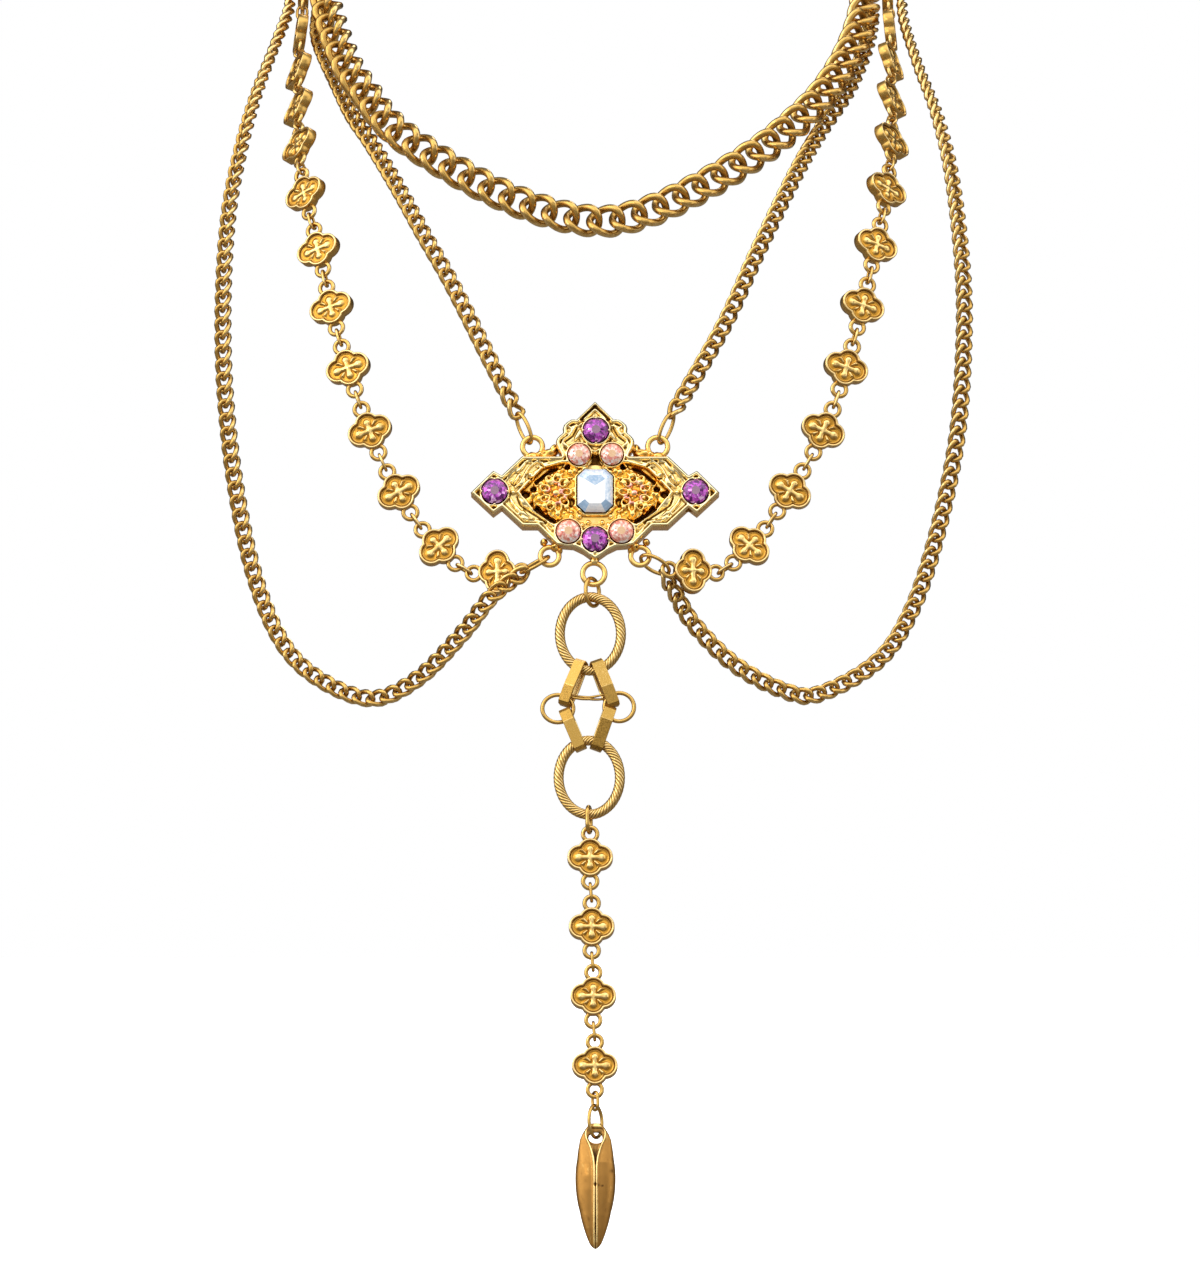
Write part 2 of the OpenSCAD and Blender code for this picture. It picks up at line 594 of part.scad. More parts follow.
// Rings that hang on the plaque's eyes, each between two wire places
plaque_ring_wire = 0.75;
module ring_between(a, b, wide, out) {
    stand((a + b) / 2, b - a, out) long_ring(norm(b - a) + plaque_ring_wire, wide, plaque_ring_wire);
}
function top_end(side) = side < 0 ? at(front_left_track, track_end(front_left_track))
                                  : at(front_right_track, track_end(front_right_track));
function top_eye(side) = eye_place(side < 0 ? 0 : 1);
function top_way(side) = unit(top_end(side) - top_eye(side));
function top_out(side) = square_to([side * 0.85, -0.5, 0], top_way(side));
module plaque_ring_top(side) {
    color(GOLD) ring_between(top_eye(side) + 0.5 * top_way(side), top_end(side) - 0.3 * top_way(side),
                             4.0, top_out(side));
}
module plaque_ring_low(side) {
    near = low_eye(side) + low_hold * low_x(side);
    color(GOLD) ring_between(near, near + low_reach * low_x(side),
                             2 * low_half + plaque_ring_wire, low_z(side));
}

// The long drop, in the leaning front frame: x and y of each piece's centre
DROP_RING_UPPER = [-0.6, -22.85];
TWIST_UPPER = [-1.05, -32.5];
TWIST_LOWER = [-1.3, -65.6];
DROP_RING_LOWER = [-1.35, -75.25];
LEAF_TOP = -84.0;
function leaf_x(k) = -1.1 + 0.35 * k;
function leaf_y(k) = LEAF_TOP - k * leaf_pitch;
pod_x = 0.1;
pod_hole_y = -147.85;

module drop_ring_upper() {
    color(GOLD) on_front() translate([DROP_RING_UPPER[0], DROP_RING_UPPER[1], mid])
        rotate([0, 56, 0]) rotate([0, 0, 90]) long_ring(7.2, 6.2, 0.9);
}

TWIST_STEPS = 80;
TWIST_SIDES = 8;
TWIST_TURNS = 10;
module twisted_ring(centre) {
    a = (twist_wide - twist_wire) / 2;
    b = (twist_high - twist_wire) / 2;
    points = [
        for (i = [0 : TWIST_STEPS - 1])
            let (t = 360 * i / TWIST_STEPS, o = unit([b * cos(t), a * sin(t)]))
            for (j = [0 : TWIST_SIDES - 1])
                let (q = 360 * j / TWIST_SIDES + TWIST_TURNS * t,
                     r = twist_wire / 2 * (j % 2 == 0 ? 1 : 0.84))
                [centre[0] + a * cos(t) + r * cos(q) * o[0],
                 centre[1] + b * sin(t) + r * cos(q) * o[1],
                 mid + r * sin(q)]];
    color(GOLD) on_front() polyhedron(points, ring_faces(TWIST_STEPS, TWIST_SIDES, 0), convexity = 8);
}

// Folded strap link seen from its side: distance from the wide end, half depth
strap_deep = 4.1;
strap_deep_end = 3.7;
function strap_loop(long, inward) =
    let (half = [[0, strap_deep / 2 - 0.8], [0.7, strap_deep / 2], [5.6, strap_deep / 2],
                 [long - 0.7, strap_deep_end / 2], [long, strap_deep_end / 2 - 0.7]],
         whole = concat(half, [for (i = [len(half) - 1 : -1 : 0]) [half[i][0], -half[i][1]]]))
    inward == 0 ? whole : inset(whole, inward);
// Strap links: x and y of the wide end, x and y of the narrow end's direction
STRAPS = [
    ["upper_left", -3.2, -38.2, -0.371, -0.929], ["upper_right", 0.9, -38.2, 0.371, -0.929],
    ["lower_left", -3.1, -59.9, -0.346, 0.938], ["lower_right", 0.7, -59.9, 0.346, 0.938]];
module strap_link(k) {
    s = STRAPS[k];
    long = k < 2 ? strap_long : strap_long_low;
    color(PALE_GOLD) on_front()
        stand([s[1], s[2], mid], [s[3], s[4], 0], [-s[4], s[3], 0])
            translate([0, 0, -strap_wide / 2]) linear_extrude(strap_wide)
                difference() {
                    polygon(strap_loop(long, 0));
                    polygon(strap_loop(long, strap_thick));
                }
}

SIDE_RINGS = [[-8.25, -49.2], [5.75, -49.0]];
module side_ring(k) {
    s = SIDE_RINGS[k];
    color(GOLD) on_front() translate([s[0], s[1], mid]) long_ring(8.2, 7.2, 1.0);
}
module cross_link() {
    color(GOLD) on_front() translate([-1.3, -47.6, mid]) rotate([90, 0, 0]) long_ring(10.4, 2.3, 0.5);
}
module drop_ring_lower() {
    color(GOLD) on_front() translate([DROP_RING_LOWER[0], DROP_RING_LOWER[1], mid])
        rotate([0, 78, 0]) rotate([0, 0, 90]) long_ring(6.7, 4.7, 0.9);
}
module drop_quatrefoil(k) {
    color(GOLD) on_front() translate([leaf_x(k), leaf_y(k), mid]) rotate([0, 0, -90]) quatrefoil();
}
module drop_link(k) {
    upper = [leaf_x(k), leaf_y(k) - leaf_hold, mid];
    lower = k < 3 ? [leaf_x(k + 1), leaf_y(k + 1) + leaf_hold, mid]
                  : [pod_x, pod_ring_y + pod_ring_long / 2 - pod_ring_wire - small_wire / 2 - 2 * hook_gap, mid];
    out = k < 3 ? [1, 0, 0] : [0.87, 0, -0.5];
    color(GOLD) on_front() stand((upper + lower) / 2, lower - upper, out)
        small_link(norm(lower - upper));
}

// Oval ring of the pod, turned so that it passes through the bail from front to back
pod_ring_long = 8.1;
pod_ring_wire = 0.9;
pod_ring_y = pod_hole_y + 0.3 + (pod_ring_long - pod_ring_wire) / 2;
module pod_ring() {
    color(GOLD) on_front() translate([pod_x, pod_ring_y, mid])
        rotate([0, 60, 0]) rotate([0, 0, 90]) long_ring(pod_ring_long, 5.6, pod_ring_wire);
}

// Pod: share of the length from the top, share of the half width, share of the half thickness
POD_ROWS = [
    [0.00, 0.22, 0.26], [0.02, 0.34, 0.34], [0.07, 0.47, 0.40], [0.14, 0.66, 0.46], [0.22, 0.83, 0.66],
    [0.32, 0.95, 0.94], [0.43, 1.00, 1.00], [0.54, 0.97, 0.97], [0.64, 0.88, 0.88], [0.74, 0.72, 0.74],
    [0.84, 0.49, 0.54], [0.92, 0.27, 0.34], [0.975, 0.12, 0.20], [1.00, 0.04, 0.10]];
POD_SIDES = 20;
module pod() {
    top = pod_hole_y + 3.4;
    points = [
        for (q = POD_ROWS) for (j = [0 : POD_SIDES - 1])
            let (a = 360 * j / POD_SIDES, ridge = 1 + 0.12 * pow(abs(sin(a)), 8))
            [pod_x + pod_wide / 2 * q[1] * cos(a), top - pod_long * q[0],
             mid + pod_thick / 2 * q[2] * ridge * sin(a)]];
    color(BROWN_GOLD) on_front() difference() {
        polyhedron(points, flipped(stack_faces(len(POD_ROWS), POD_SIDES)));
        translate([pod_x, pod_hole_y, mid - 5]) cylinder(h = 10, d = pod_bore, $fn = 48);
        translate([0, 0, mid + 0.6]) linear_extrude(5)
            polygon([[pod_x - 1.3, pod_hole_y - 0.4], [pod_x, pod_hole_y - 8], [pod_x + 1.3, pod_hole_y - 0.4]]);
    }
}

module stone(k) {
    color(k < 4 ? PURPLE : PINK) round_stone(k);
}

neck_chain();
clasp();
gather_ring(-1);  // gather_ring_left
gather_ring(1);  // gather_ring_right
fine_chain(front_left_track, 16, [gather_line(-1, FRONT_AT), cross(top_way(-1), top_out(-1))]);  // front_chain_left
fine_chain(front_right_track, 16, [gather_line(1, FRONT_AT), cross(top_way(1), top_out(1))]);  // front_chain_right
fine_chain(outer_left_track, 24, [gather_line(-1, OUTER_AT), low_line(-1, -OUTER_END_AT)]);  // outer_chain_left
fine_chain(outer_right_track, 24, [gather_line(1, OUTER_AT), low_line(1, OUTER_END_AT)]);  // outer_chain_right
quatrefoil_strand(strand_left_track);  // quatrefoil_strand_left
quatrefoil_strand(strand_right_track);  // quatrefoil_strand_right
plaque();
centre_crystal();
stone(0);  // purple_stone_top
stone(1);  // purple_stone_left
stone(2);  // purple_stone_right
stone(3);  // purple_stone_bottom
stone(4);  // pink_stone_upper_left
stone(5);  // pink_stone_upper_right
stone(6);  // pink_stone_lower_left
stone(7);  // pink_stone_lower_right
plaque_ring_top(-1);  // plaque_ring_top_left
plaque_ring_top(1);  // plaque_ring_top_right
plaque_ring_low(-1);  // plaque_ring_low_left
plaque_ring_low(1);  // plaque_ring_low_right
drop_ring_upper();
twisted_ring(TWIST_UPPER);  // twisted_ring_upper
twisted_ring(TWIST_LOWER);  // twisted_ring_lower
strap_link(0);  // strap_link_upper_left
strap_link(1);  // strap_link_upper_right
strap_link(2);  // strap_link_lower_left
strap_link(3);  // strap_link_lower_right
side_ring(0);  // side_ring_left
side_ring(1);  // side_ring_right
cross_link();
drop_ring_lower();
drop_quatrefoil(0);  // drop_quatrefoil_1
drop_quatrefoil(1);  // drop_quatrefoil_2
drop_quatrefoil(2);  // drop_quatrefoil_3
drop_quatrefoil(3);  // drop_quatrefoil_4
drop_link(0);  // drop_link_1
drop_link(1);  // drop_link_2
drop_link(2);  // drop_link_3
drop_link(3);  // drop_link_4
pod_ring();
pod();
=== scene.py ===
import math

import bmesh
import bpy
import numpy as np
from mathutils import Matrix, Vector


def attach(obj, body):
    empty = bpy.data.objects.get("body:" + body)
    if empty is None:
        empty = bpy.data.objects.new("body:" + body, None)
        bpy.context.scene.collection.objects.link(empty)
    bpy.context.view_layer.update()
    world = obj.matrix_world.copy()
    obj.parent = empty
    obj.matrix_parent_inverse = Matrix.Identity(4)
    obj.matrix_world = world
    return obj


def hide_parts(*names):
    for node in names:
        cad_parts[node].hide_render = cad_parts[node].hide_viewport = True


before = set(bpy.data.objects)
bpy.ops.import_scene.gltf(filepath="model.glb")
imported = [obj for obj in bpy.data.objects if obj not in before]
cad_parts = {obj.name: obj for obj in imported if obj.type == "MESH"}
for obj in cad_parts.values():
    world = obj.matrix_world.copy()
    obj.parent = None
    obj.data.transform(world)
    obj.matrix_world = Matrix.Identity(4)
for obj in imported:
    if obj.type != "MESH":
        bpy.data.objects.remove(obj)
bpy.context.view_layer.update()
MM = 0.001
TAU = 2 * math.pi
SIDES = ((-1, "left"), (1, "right"))

# The leaning front frame of the plaque and the drop: x right, y up along the plaque, z out of its face
LEAN = math.radians(14)
PLAQUE_AT = np.array([0, -147.4, -144.5])
FRONT = Matrix.Translation(Vector(PLAQUE_AT)) @ Matrix.Rotation(math.pi / 2 - LEAN, 4, "X")
MID = 2.5

# Routes of the chains and strands, from the nape forwards and down: x, y, z and turn
HEAVY_ROUTE = [
    [-8, -0.8, 0, 176], [-20, -3.5, -1.2, 165], [-38, -12, -4.5, 140], [-52.5, -26.5, -10.5, 110],
    [-61.2, -45.5, -18.8, 70], [-62.9, -63, -27.2, 35], [-58, -81, -42.5, 15], [-53, -89, -50.5, 12],
    [-47.5, -96, -58, 10], [-40, -100.5, -64, 8], [-26, -105.5, -72.5, 4], [-12, -108, -78.5, 2], [1, -109, -81, 0],
    [11.5, -108.5, -79, -2], [22.5, -106.5, -74, -4], [33.5, -103, -67.5, -8], [43, -97.5, -60.5, -10],
    [53, -88.5, -50.5, -12], [60, -76.5, -38.5, -16], [62.9, -63, -27.2, -35], [61.2, -45.5, -18.8, -70],
    [52.5, -26.5, -10.5, -110], [38, -12, -4.5, -140], [20, -3.5, -1.2, -165], [8, -0.8, 0, -176]]
FRONT_LEFT_ROUTE = [
    [-64.6, -52.5, -30.5, 12], [-64.2, -64, -37.5, 15], [-59.2, -78.5, -49, 20], [-55.8, -87.5, -56, 20],
    [-51.5, -96, -62.5, 20], [-45, -109.3, -73.5, 20], [-39, -119.5, -84.5, 18], [-32.5, -127.5, -96, 15],
    [-23.5, -138.5, -114, 10], [-17.6, -144.6, -125.6, 5]]
FRONT_RIGHT_ROUTE = [
    [64.6, -52.5, -30.5, -12], [63.3, -64.5, -38, -15], [59.8, -76, -47, -18], [57, -82.5, -52, -20],
    [52, -91, -59.5, -20], [46, -105.5, -70, -20], [37, -122, -88.5, -18], [30, -132, -104, -14],
    [22.5, -140, -117.5, -9], [17.6, -144.6, -125.6, -5]]
OUTER_LEFT_ROUTE = [
    [-71.5, -49, -23.8, 86], [-71.6, -57.5, -29.5, 82], [-74.5, -69, -38.5, 70], [-78.5, -83.5, -51, 60],
    [-81.5, -95, -63.5, 50], [-84, -104, -78.5, 42], [-85, -112, -97.5, 36], [-84.5, -118, -118.5, 30],
    [-82, -124, -140.5, 25], [-77.5, -130, -161.5, 20], [-71, -136, -177, 15], [-62.5, -140, -185.5, 12],
    [-50.5, -144, -190, 8], [-40, -147.5, -185.5, 5], [-30, -153.2, -175.5, 2], [-23.2, -156.8, -167, 0]]
OUTER_RIGHT_ROUTE = [
    [71.5, -49, -23.8, -86], [72, -60, -32, -81], [75, -74, -43.5, -68], [79, -88, -56, -58], [82, -99, -70.5, -46],
    [84, -110, -91, -38], [84.2, -115.5, -108, -32], [82.5, -121, -130, -27], [78, -127, -151.5, -22],
    [72, -133, -169.5, -17], [64, -139, -181.5, -12], [50.5, -143.5, -189, -8], [42, -145.5, -188, -5],
    [31, -147.5, -182, -3], [22, -149, -173, 0], [18, -150.6, -166.3, 0]]
STRAND_LEFT_ROUTE = [
    [-68.2, -55, -24.8, 88], [-68.6, -64, -34.5, 82], [-68.8, -77, -44, 62], [-68.5, -90.5, -53.5, 55],
    [-68, -103.5, -62.5, 48], [-66.5, -114.5, -74, 36], [-63, -122.5, -87.5, 26], [-60, -130.5, -101, 20],
    [-56, -137, -115, 14], [-51, -141.5, -129.5, 9], [-44.5, -145, -143.5, 5], [-36, -148.5, -155.5, 2],
    [-28.5, -150.5, -161.3, 0], [-22.5, -151.8, -162.4, 0]]
STRAND_RIGHT_ROUTE = [
    [68.2, -55, -24.8, -88], [68.6, -68, -34.5, -82], [68.4, -82.5, -42.5, -62], [68.2, -95, -52, -56],
    [68, -107.5, -62, -48], [66.5, -118.5, -74, -36], [63.8, -127, -87, -26], [60.5, -133.5, -101.5, -20],
    [56.5, -139.5, -116, -14], [51.5, -143.5, -130, -9], [43.7, -145.5, -143.7, -5], [35, -148.5, -156, -2],
    [27.5, -151.4, -161.5, 0], [21.8, -153.2, -162.4, 0]]


def unit(v):
    v = np.asarray(v, float)
    return v / np.linalg.norm(v)


def square_to(v, axis):
    v = np.asarray(v, float)
    return unit(v - (v @ axis) * axis)


def front(p):
    """A place in the leaning frame, in the part's own millimetres."""
    s, c = math.sin(LEAN), math.cos(LEAN)
    return PLAQUE_AT + np.array([p[0], p[1] * s - p[2] * c, p[1] * c + p[2] * s])


def track(route):
    """A smooth curve through a route's rows, measured along its length."""
    rows = np.array(route, float)
    last = len(rows) - 1
    curve = []
    for i in range(last):
        a, b, c, d = rows[max(i - 1, 0)], rows[i], rows[i + 1], rows[min(i + 2, last)]
        for j in range(12):
            t = j / 12
            curve.append(0.5 * (2 * b + (c - a) * t + (2 * a - 5 * b + 4 * c - d) * t * t
                                + (3 * b - a - 3 * c + d) * t ** 3))
    curve.append(rows[last])
    curve = np.array(curve)
    steps = np.linalg.norm(np.diff(curve[:, :3], axis=0), axis=1)
    return np.concatenate([[0], np.cumsum(steps)]), curve


def track_end(t):
    return t[0][-1]


def at(t, s):
    return np.array([np.interp(s, t[0], t[1][:, k]) for k in range(3)])


def heading(t, s):
    return unit(at(t, s + 0.8) - at(t, s - 0.8))


def facing(t, s):
    turn = math.radians(np.interp(s, t[0], t[1][:, 3]))
    return square_to([-math.sin(turn), -math.cos(turn), 0.3 * math.cos(turn)], heading(t, s))


def stand(where, along, out):
    """The place that puts the x axis along one direction and the z axis as near as it can to another."""
    x = unit(along)
    z = square_to(out, x)
    y = np.cross(z, x)
    return Matrix([[x[k], y[k], z[k], where[k]] for k in range(3)] + [[0, 0, 0, 1]])


# Where the chains begin on the gather rings and end on the plaque's rings
GATHER_AT, GATHER_RADIUS, GATHER_UP = np.array([61.2, -45.5, -18.8]), 7.5, np.array([0, -0.5, 0.866])


def gather_point(side, deg):
    a = math.radians(deg)
    way = np.array([side * math.cos(a), 0, 0]) + math.sin(a) * GATHER_UP
    return GATHER_AT * (side, 1, 1) + GATHER_RADIUS * way


def gather_line(side, deg):
    a = math.radians(deg)
    return np.array([-side * math.sin(a), 0, 0]) + math.cos(a) * GATHER_UP


# Eyes of the plaque, left before right: two at the top, two low and one under it, each x, y and mean radius
EYES = [[-14.1, 10.9, 2.25], [14.1, 10.9, 2.25], [-10.2, -14.5, 2.1], [10.1, -14.5, 2.1], [-0.3, -18.6, 2.5]]
TOP, LOW = 0, 2
LOW_RING_BEND = 5.05


def eye_at(side, level):
    x, y, _ = EYES[level + (side > 0)]
    return front([x, y, MID])


def low_frame(side):
    """Along a low ring, across it and out of its face."""
    x = unit([side * 0.87, 0.02, -0.49])
    z = square_to([-0.485, -0.18, 0.854] if side < 0 else [-0.365, -0.637, -0.674], x)
    return x, np.cross(z, x), z


def low_point(side, deg, out):
    """A place round the far bend of a low ring."""
    x, y, _ = low_frame(side)
    a = math.radians(deg)
    return eye_at(side, LOW) + LOW_RING_BEND * x + out * (math.cos(a) * x + math.sin(a) * y)


def low_line(side, deg):
    x, y, _ = low_frame(side)
    a = math.radians(deg)
    return math.cos(a) * y - math.sin(a) * x


def row(p, turn):
    return [p[0], p[1], p[2], turn]


heavy_track = track(HEAVY_ROUTE)
front_tracks = {side: track([row(gather_point(side, -70), -side * 10)] + route)
                for side, route in ((-1, FRONT_LEFT_ROUTE), (1, FRONT_RIGHT_ROUTE))}
outer_tracks = {side: track([row(gather_point(side, -15), -side * 85)] + route
                            + [row(low_point(side, -side * 46, 2.45), 0)])
                for side, route in ((-1, OUTER_LEFT_ROUTE), (1, OUTER_RIGHT_ROUTE))}
strand_tracks = {side: track([row(gather_point(side, 22), -side * 78)] + route
                             + [row(low_point(side, side * 24, 2.5), 14 if side < 0 else 0)])
                 for side, route in ((-1, STRAND_LEFT_ROUTE), (1, STRAND_RIGHT_ROUTE))}


# Materials -------------------------------------------------------------------------------------

def group_of(name, inputs, outputs):
    group = bpy.data.node_groups.new(name, "ShaderNodeTree")
    for title, value in inputs.items():
        kind = "NodeSocketColor" if isinstance(value, tuple) else "NodeSocketFloat"
        group.interface.new_socket(name=title, in_out="INPUT", socket_type=kind).default_value = value
    for title, kind in outputs.items():
        group.interface.new_socket(name=title, in_out="OUTPUT", socket_type=kind)
    return group, group.nodes.new("NodeGroupInput").outputs, group.nodes.new("NodeGroupOutput").inputs


def math_node(tree, operation, a, b, clamp=False):
    node = tree.nodes.new("ShaderNodeMath")
    node.operation = operation
    node.use_clamp = clamp
    for socket, value in zip(node.inputs, (a, b)):
        if isinstance(value, (int, float)):
            socket.default_value = value
        else:
            tree.links.new(value, socket)
    return node.outputs[0]


def mixed(tree, factor, a, b):
    """One colour or the other by a factor; each is a socket or a plain value."""
    node = tree.nodes.new("ShaderNodeMix")
    node.data_type = "RGBA"
    for title, value in (("Factor", factor), ("A", a), ("B", b)):
        socket = next(s for s in node.inputs if s.name == title and s.enabled)
        if isinstance(value, tuple):
            socket.default_value = (*value, 1)
        else:
            tree.links.new(value, socket)
    return next(s for s in node.outputs if s.enabled)


def ranged(tree, value, low, high, out_low=0.0, out_high=1.0):
    node = tree.nodes.new("ShaderNodeMapRange")
    node.interpolation_type = "SMOOTHSTEP"
    tree.links.new(value, node.inputs["Value"])
    for title, number in (("From Min", low), ("From Max", high), ("To Min", out_low), ("To Max", out_high)):
        node.inputs[title].default_value = number
    return node.outputs["Result"]


def noise_node(tree, scale, detail):
    """Noise on the object's own coordinates."""
    node = tree.nodes.new("ShaderNodeTexNoise")
    tree.links.new(tree.nodes.new("ShaderNodeTexCoord").outputs["Object"], node.inputs["Vector"])
    if isinstance(scale, float):
        node.inputs["Scale"].default_value = scale
    else:
        tree.links.new(scale, node.inputs["Scale"])
    node.inputs["Detail"].default_value = detail
    node.inputs["Roughness"].default_value = 0.55
    return node.outputs["Fac"]


def carried(tree, layer):
    """What the piece's own mesh says at each point."""
    node = tree.nodes.new("ShaderNodeAttribute")
    node.attribute_name = layer
    return node.outputs["Fac"]


def make_patina_and_painted_light():
    """Gold with dark in its hollows: the tone runs from 0 in a hollow to 1 on a polished edge. The tone stands both for
    antique patina and for painted light and shade: painted shade in recesses and on shaded faces, painted highlights on
    lit edges.
    """
    group, given, out = group_of(
        "Antique patina",
        {"Tone": 0.75, "Warmth": 0.0, "Blush": 0.0, "Metal": (0.6, 0.37, 0.1, 1), "Rich Metal": (0.55, 0.27, 0.035, 1),
         "Polished": (0.86, 0.62, 0.27, 1), "Hollow": (0.07, 0.028, 0.006, 1), "Mottle Scale": 900.0,
         "Grain Scale": 7000.0, "Smooth": 0.2, "Dull": 0.45},
        {"Color": "NodeSocketColor", "Roughness": "NodeSocketFloat", "Height": "NodeSocketFloat"})
    mottle = noise_node(group, given["Mottle Scale"], 4.0)
    grain = noise_node(group, given["Grain Scale"], 2.0)
    tone = math_node(group, "ADD", given["Tone"], ranged(group, mottle, 0.3, 0.7, -0.1, 0.1))
    metal = mixed(group, given["Warmth"], given["Metal"], given["Rich Metal"])
    metal = mixed(group, ranged(group, mottle, 0.35, 0.75, 0.0, 0.3), metal, given["Rich Metal"])
    polished = mixed(group, given["Warmth"], given["Polished"], (1.0, 0.72, 0.24))
    worn = mixed(group, ranged(group, tone, 0.72, 1.0), metal, polished)
    worn = mixed(group, given["Blush"], worn, (0.95, 0.42, 0.36))
    color = mixed(group, ranged(group, tone, 0.08, 0.52), given["Hollow"], worn)
    rough = mixed(group, ranged(group, tone, 0.25, 0.9), (1, 1, 1), (0, 0, 0))
    rough = math_node(group, "MULTIPLY", rough, math_node(group, "SUBTRACT", given["Dull"], given["Smooth"]))
    rough = math_node(group, "ADD", rough, given["Smooth"])
    rough = math_node(group, "ADD", rough, ranged(group, grain, 0.3, 0.7, -0.04, 0.06), clamp=True)
    height = math_node(group, "ADD", math_node(group, "MULTIPLY", grain, 0.35), mottle)
    for title, value in (("Color", color), ("Roughness", rough), ("Height", height)):
        group.links.new(value, out[title])
    return group


patina_and_painted_light = make_patina_and_painted_light()
BUMP_DEPTH = 0.03 * MM


def new_material(name):
    """A material with its node tree and its shader's inputs."""
    material = bpy.data.materials.new(name)
    material.use_nodes = True
    return material, material.node_tree, material.node_tree.nodes["Principled BSDF"].inputs


def gold(name, tone=None, bump=0.15, **values):
    """A gold finish. With no tone of its own it reads the tone, warmth and blush that the piece carries."""
    material, tree, shader = new_material(name)
    shader["Metallic"].default_value = 1.0
    look = tree.nodes.new("ShaderNodeGroup")
    look.node_tree = patina_and_painted_light
    for title, value in values.items():
        look.inputs[title.replace("_", " ").title()].default_value = value
    if tone is None:
        for title in ("Tone", "Warmth", "Blush"):
            tree.links.new(carried(tree, title.lower()), look.inputs[title])
    else:
        look.inputs["Tone"].default_value = tone
    bumped = tree.nodes.new("ShaderNodeBump")
    bumped.inputs["Strength"].default_value = bump
    bumped.inputs["Distance"].default_value = BUMP_DEPTH
    tree.links.new(look.outputs["Color"], shader["Base Color"])
    tree.links.new(look.outputs["Roughness"], shader["Roughness"])
    tree.links.new(look.outputs["Height"], bumped.inputs["Height"])
    tree.links.new(bumped.outputs["Normal"], shader["Normal"])
    return material


antique_gold = gold("antique_gold")
plain_gold = gold("plain_gold", tone=0.72)
pale_gold = gold("pale_gold", metal=(0.95, 0.71, 0.29, 1), rich_metal=(0.9, 0.47, 0.06, 1),
                 polished=(1.0, 0.87, 0.5, 1), hollow=(0.11, 0.045, 0.008, 1), smooth=0.16, dull=0.42, bump=0.3)
brushed_gold = gold("brushed_gold", metal=(0.52, 0.34, 0.09, 1), hollow=(0.16, 0.08, 0.012, 1), mottle_scale=3800.0,
                    grain_scale=9000.0, smooth=0.28, dull=0.45, bump=0.35)
brown_gold = gold("brown_gold", metal=(0.54, 0.3, 0.085, 1), rich_metal=(0.34, 0.16, 0.035, 1),
                  polished=(0.92, 0.68, 0.3, 1), hollow=(0.07, 0.035, 0.012, 1), mottle_scale=420.0,
                  grain_scale=2600.0, smooth=0.28, dull=0.5, bump=0.4)


def gem(name, deep, bright, spark, centre, metallic=0.35):
    """A foiled stone with its light painted in: each facet carries its own painted brightness, from deep through bright
    to a painted glint, and the table a plain painted centre.
    """
    material, tree, shader = new_material(name)
    cloud = ranged(tree, noise_node(tree, 1500.0, 2.0), 0.3, 0.7, -0.16, 0.16)
    light = math_node(tree, "ADD", carried(tree, "tone"), cloud)
    color = mixed(tree, ranged(tree, light, 0.05, 0.7), deep, bright)
    color = mixed(tree, ranged(tree, light, 0.68, 0.95), color, spark)
    tree.links.new(mixed(tree, carried(tree, "warmth"), color, centre), shader["Base Color"])
    for title, value in (("Metallic", metallic), ("Roughness", 0.08), ("IOR", 1.6), ("Coat Weight", 0.6),
                         ("Coat Roughness", 0.03)):
        shader[title].default_value = value
    return material


purple_glass = gem("purple_glass", (0.1, 0.006, 0.12), (0.6, 0.07, 0.62), (0.98, 0.6, 0.98), (0.26, 0.17, 0.2))
pink_glass = gem("pink_glass", (0.75, 0.22, 0.16), (1.0, 0.7, 0.58), (1.0, 0.95, 0.9), (0.72, 0.45, 0.22))
clear_crystal = gem("clear_crystal", (0.34, 0.52, 0.74), (0.85, 0.9, 0.96), (1.0, 1.0, 1.0), (0.95, 0.96, 1.0), 0.1)


# Pieces ----------------------------------------------------------------------------------------


def object_of(name, bm):
    """An object at the origin with the bmesh as its mesh."""
    mesh = bpy.data.meshes.new(name)
    bm.to_mesh(mesh)
    bm.free()
    made = bpy.data.objects.new(name, mesh)
    bpy.context.scene.collection.objects.link(made)
    return made


def finished(name, bm, material, node, body="necklace", place=None, flat=False):
    """Turns a bmesh in millimetres into a piece that stands for its node."""
    scale = Matrix.Scale(MM, 4)
    bmesh.ops.transform(bm, matrix=scale @ place if place else scale, verts=bm.verts)
    for face in bm.faces:
        face.smooth = not flat
    piece = object_of(name, bm)
    piece.data.materials.append(material)
    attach(piece, body)
    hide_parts(node)
    return piece


def at_front(x, y, z=MID):
    return FRONT @ Matrix.Translation((x, y, z))


def layers_of(bm):
    """The tone and warmth that each point of a mesh carries."""
    found = bm.verts.layers.float
    return [found.get(name) or found.new(name) for name in ("tone", "warmth")]


def tinted(bm, shade):
    tone, _ = layers_of(bm)
    for v in bm.verts:
        v[tone] = shade


def edges_in(geom):
    return [g for g in geom if isinstance(g, bmesh.types.BMEdge)]


def verts_in(geom):
    return [g for g in geom if isinstance(g, bmesh.types.BMVert)]


def wire_loop(steps, sides, shape):
    """A closed loop of wire. shape(u, w) gives a place on its surface and its tone."""
    bm = bmesh.new()
    tone, _ = layers_of(bm)
    bmesh.ops.create_circle(bm, segments=sides, radius=0.25,
                            matrix=Matrix.Translation((1, 0, 0)) @ Matrix.Rotation(math.pi / 2, 4, "X"))
    bmesh.ops.spin(bm, geom=bm.verts[:] + bm.edges[:], axis=(0, 0, 1), cent=(0, 0, 0),
                   angle=TAU, steps=steps, use_merge=True)
    for v in bm.verts:
        u = math.atan2(v.co.y, v.co.x)
        w = math.atan2(v.co.z, math.hypot(v.co.x, v.co.y) - 1)
        v.co, v[tone] = shape(u, w)
    bmesh.ops.recalc_face_normals(bm, faces=bm.faces)
    return bm


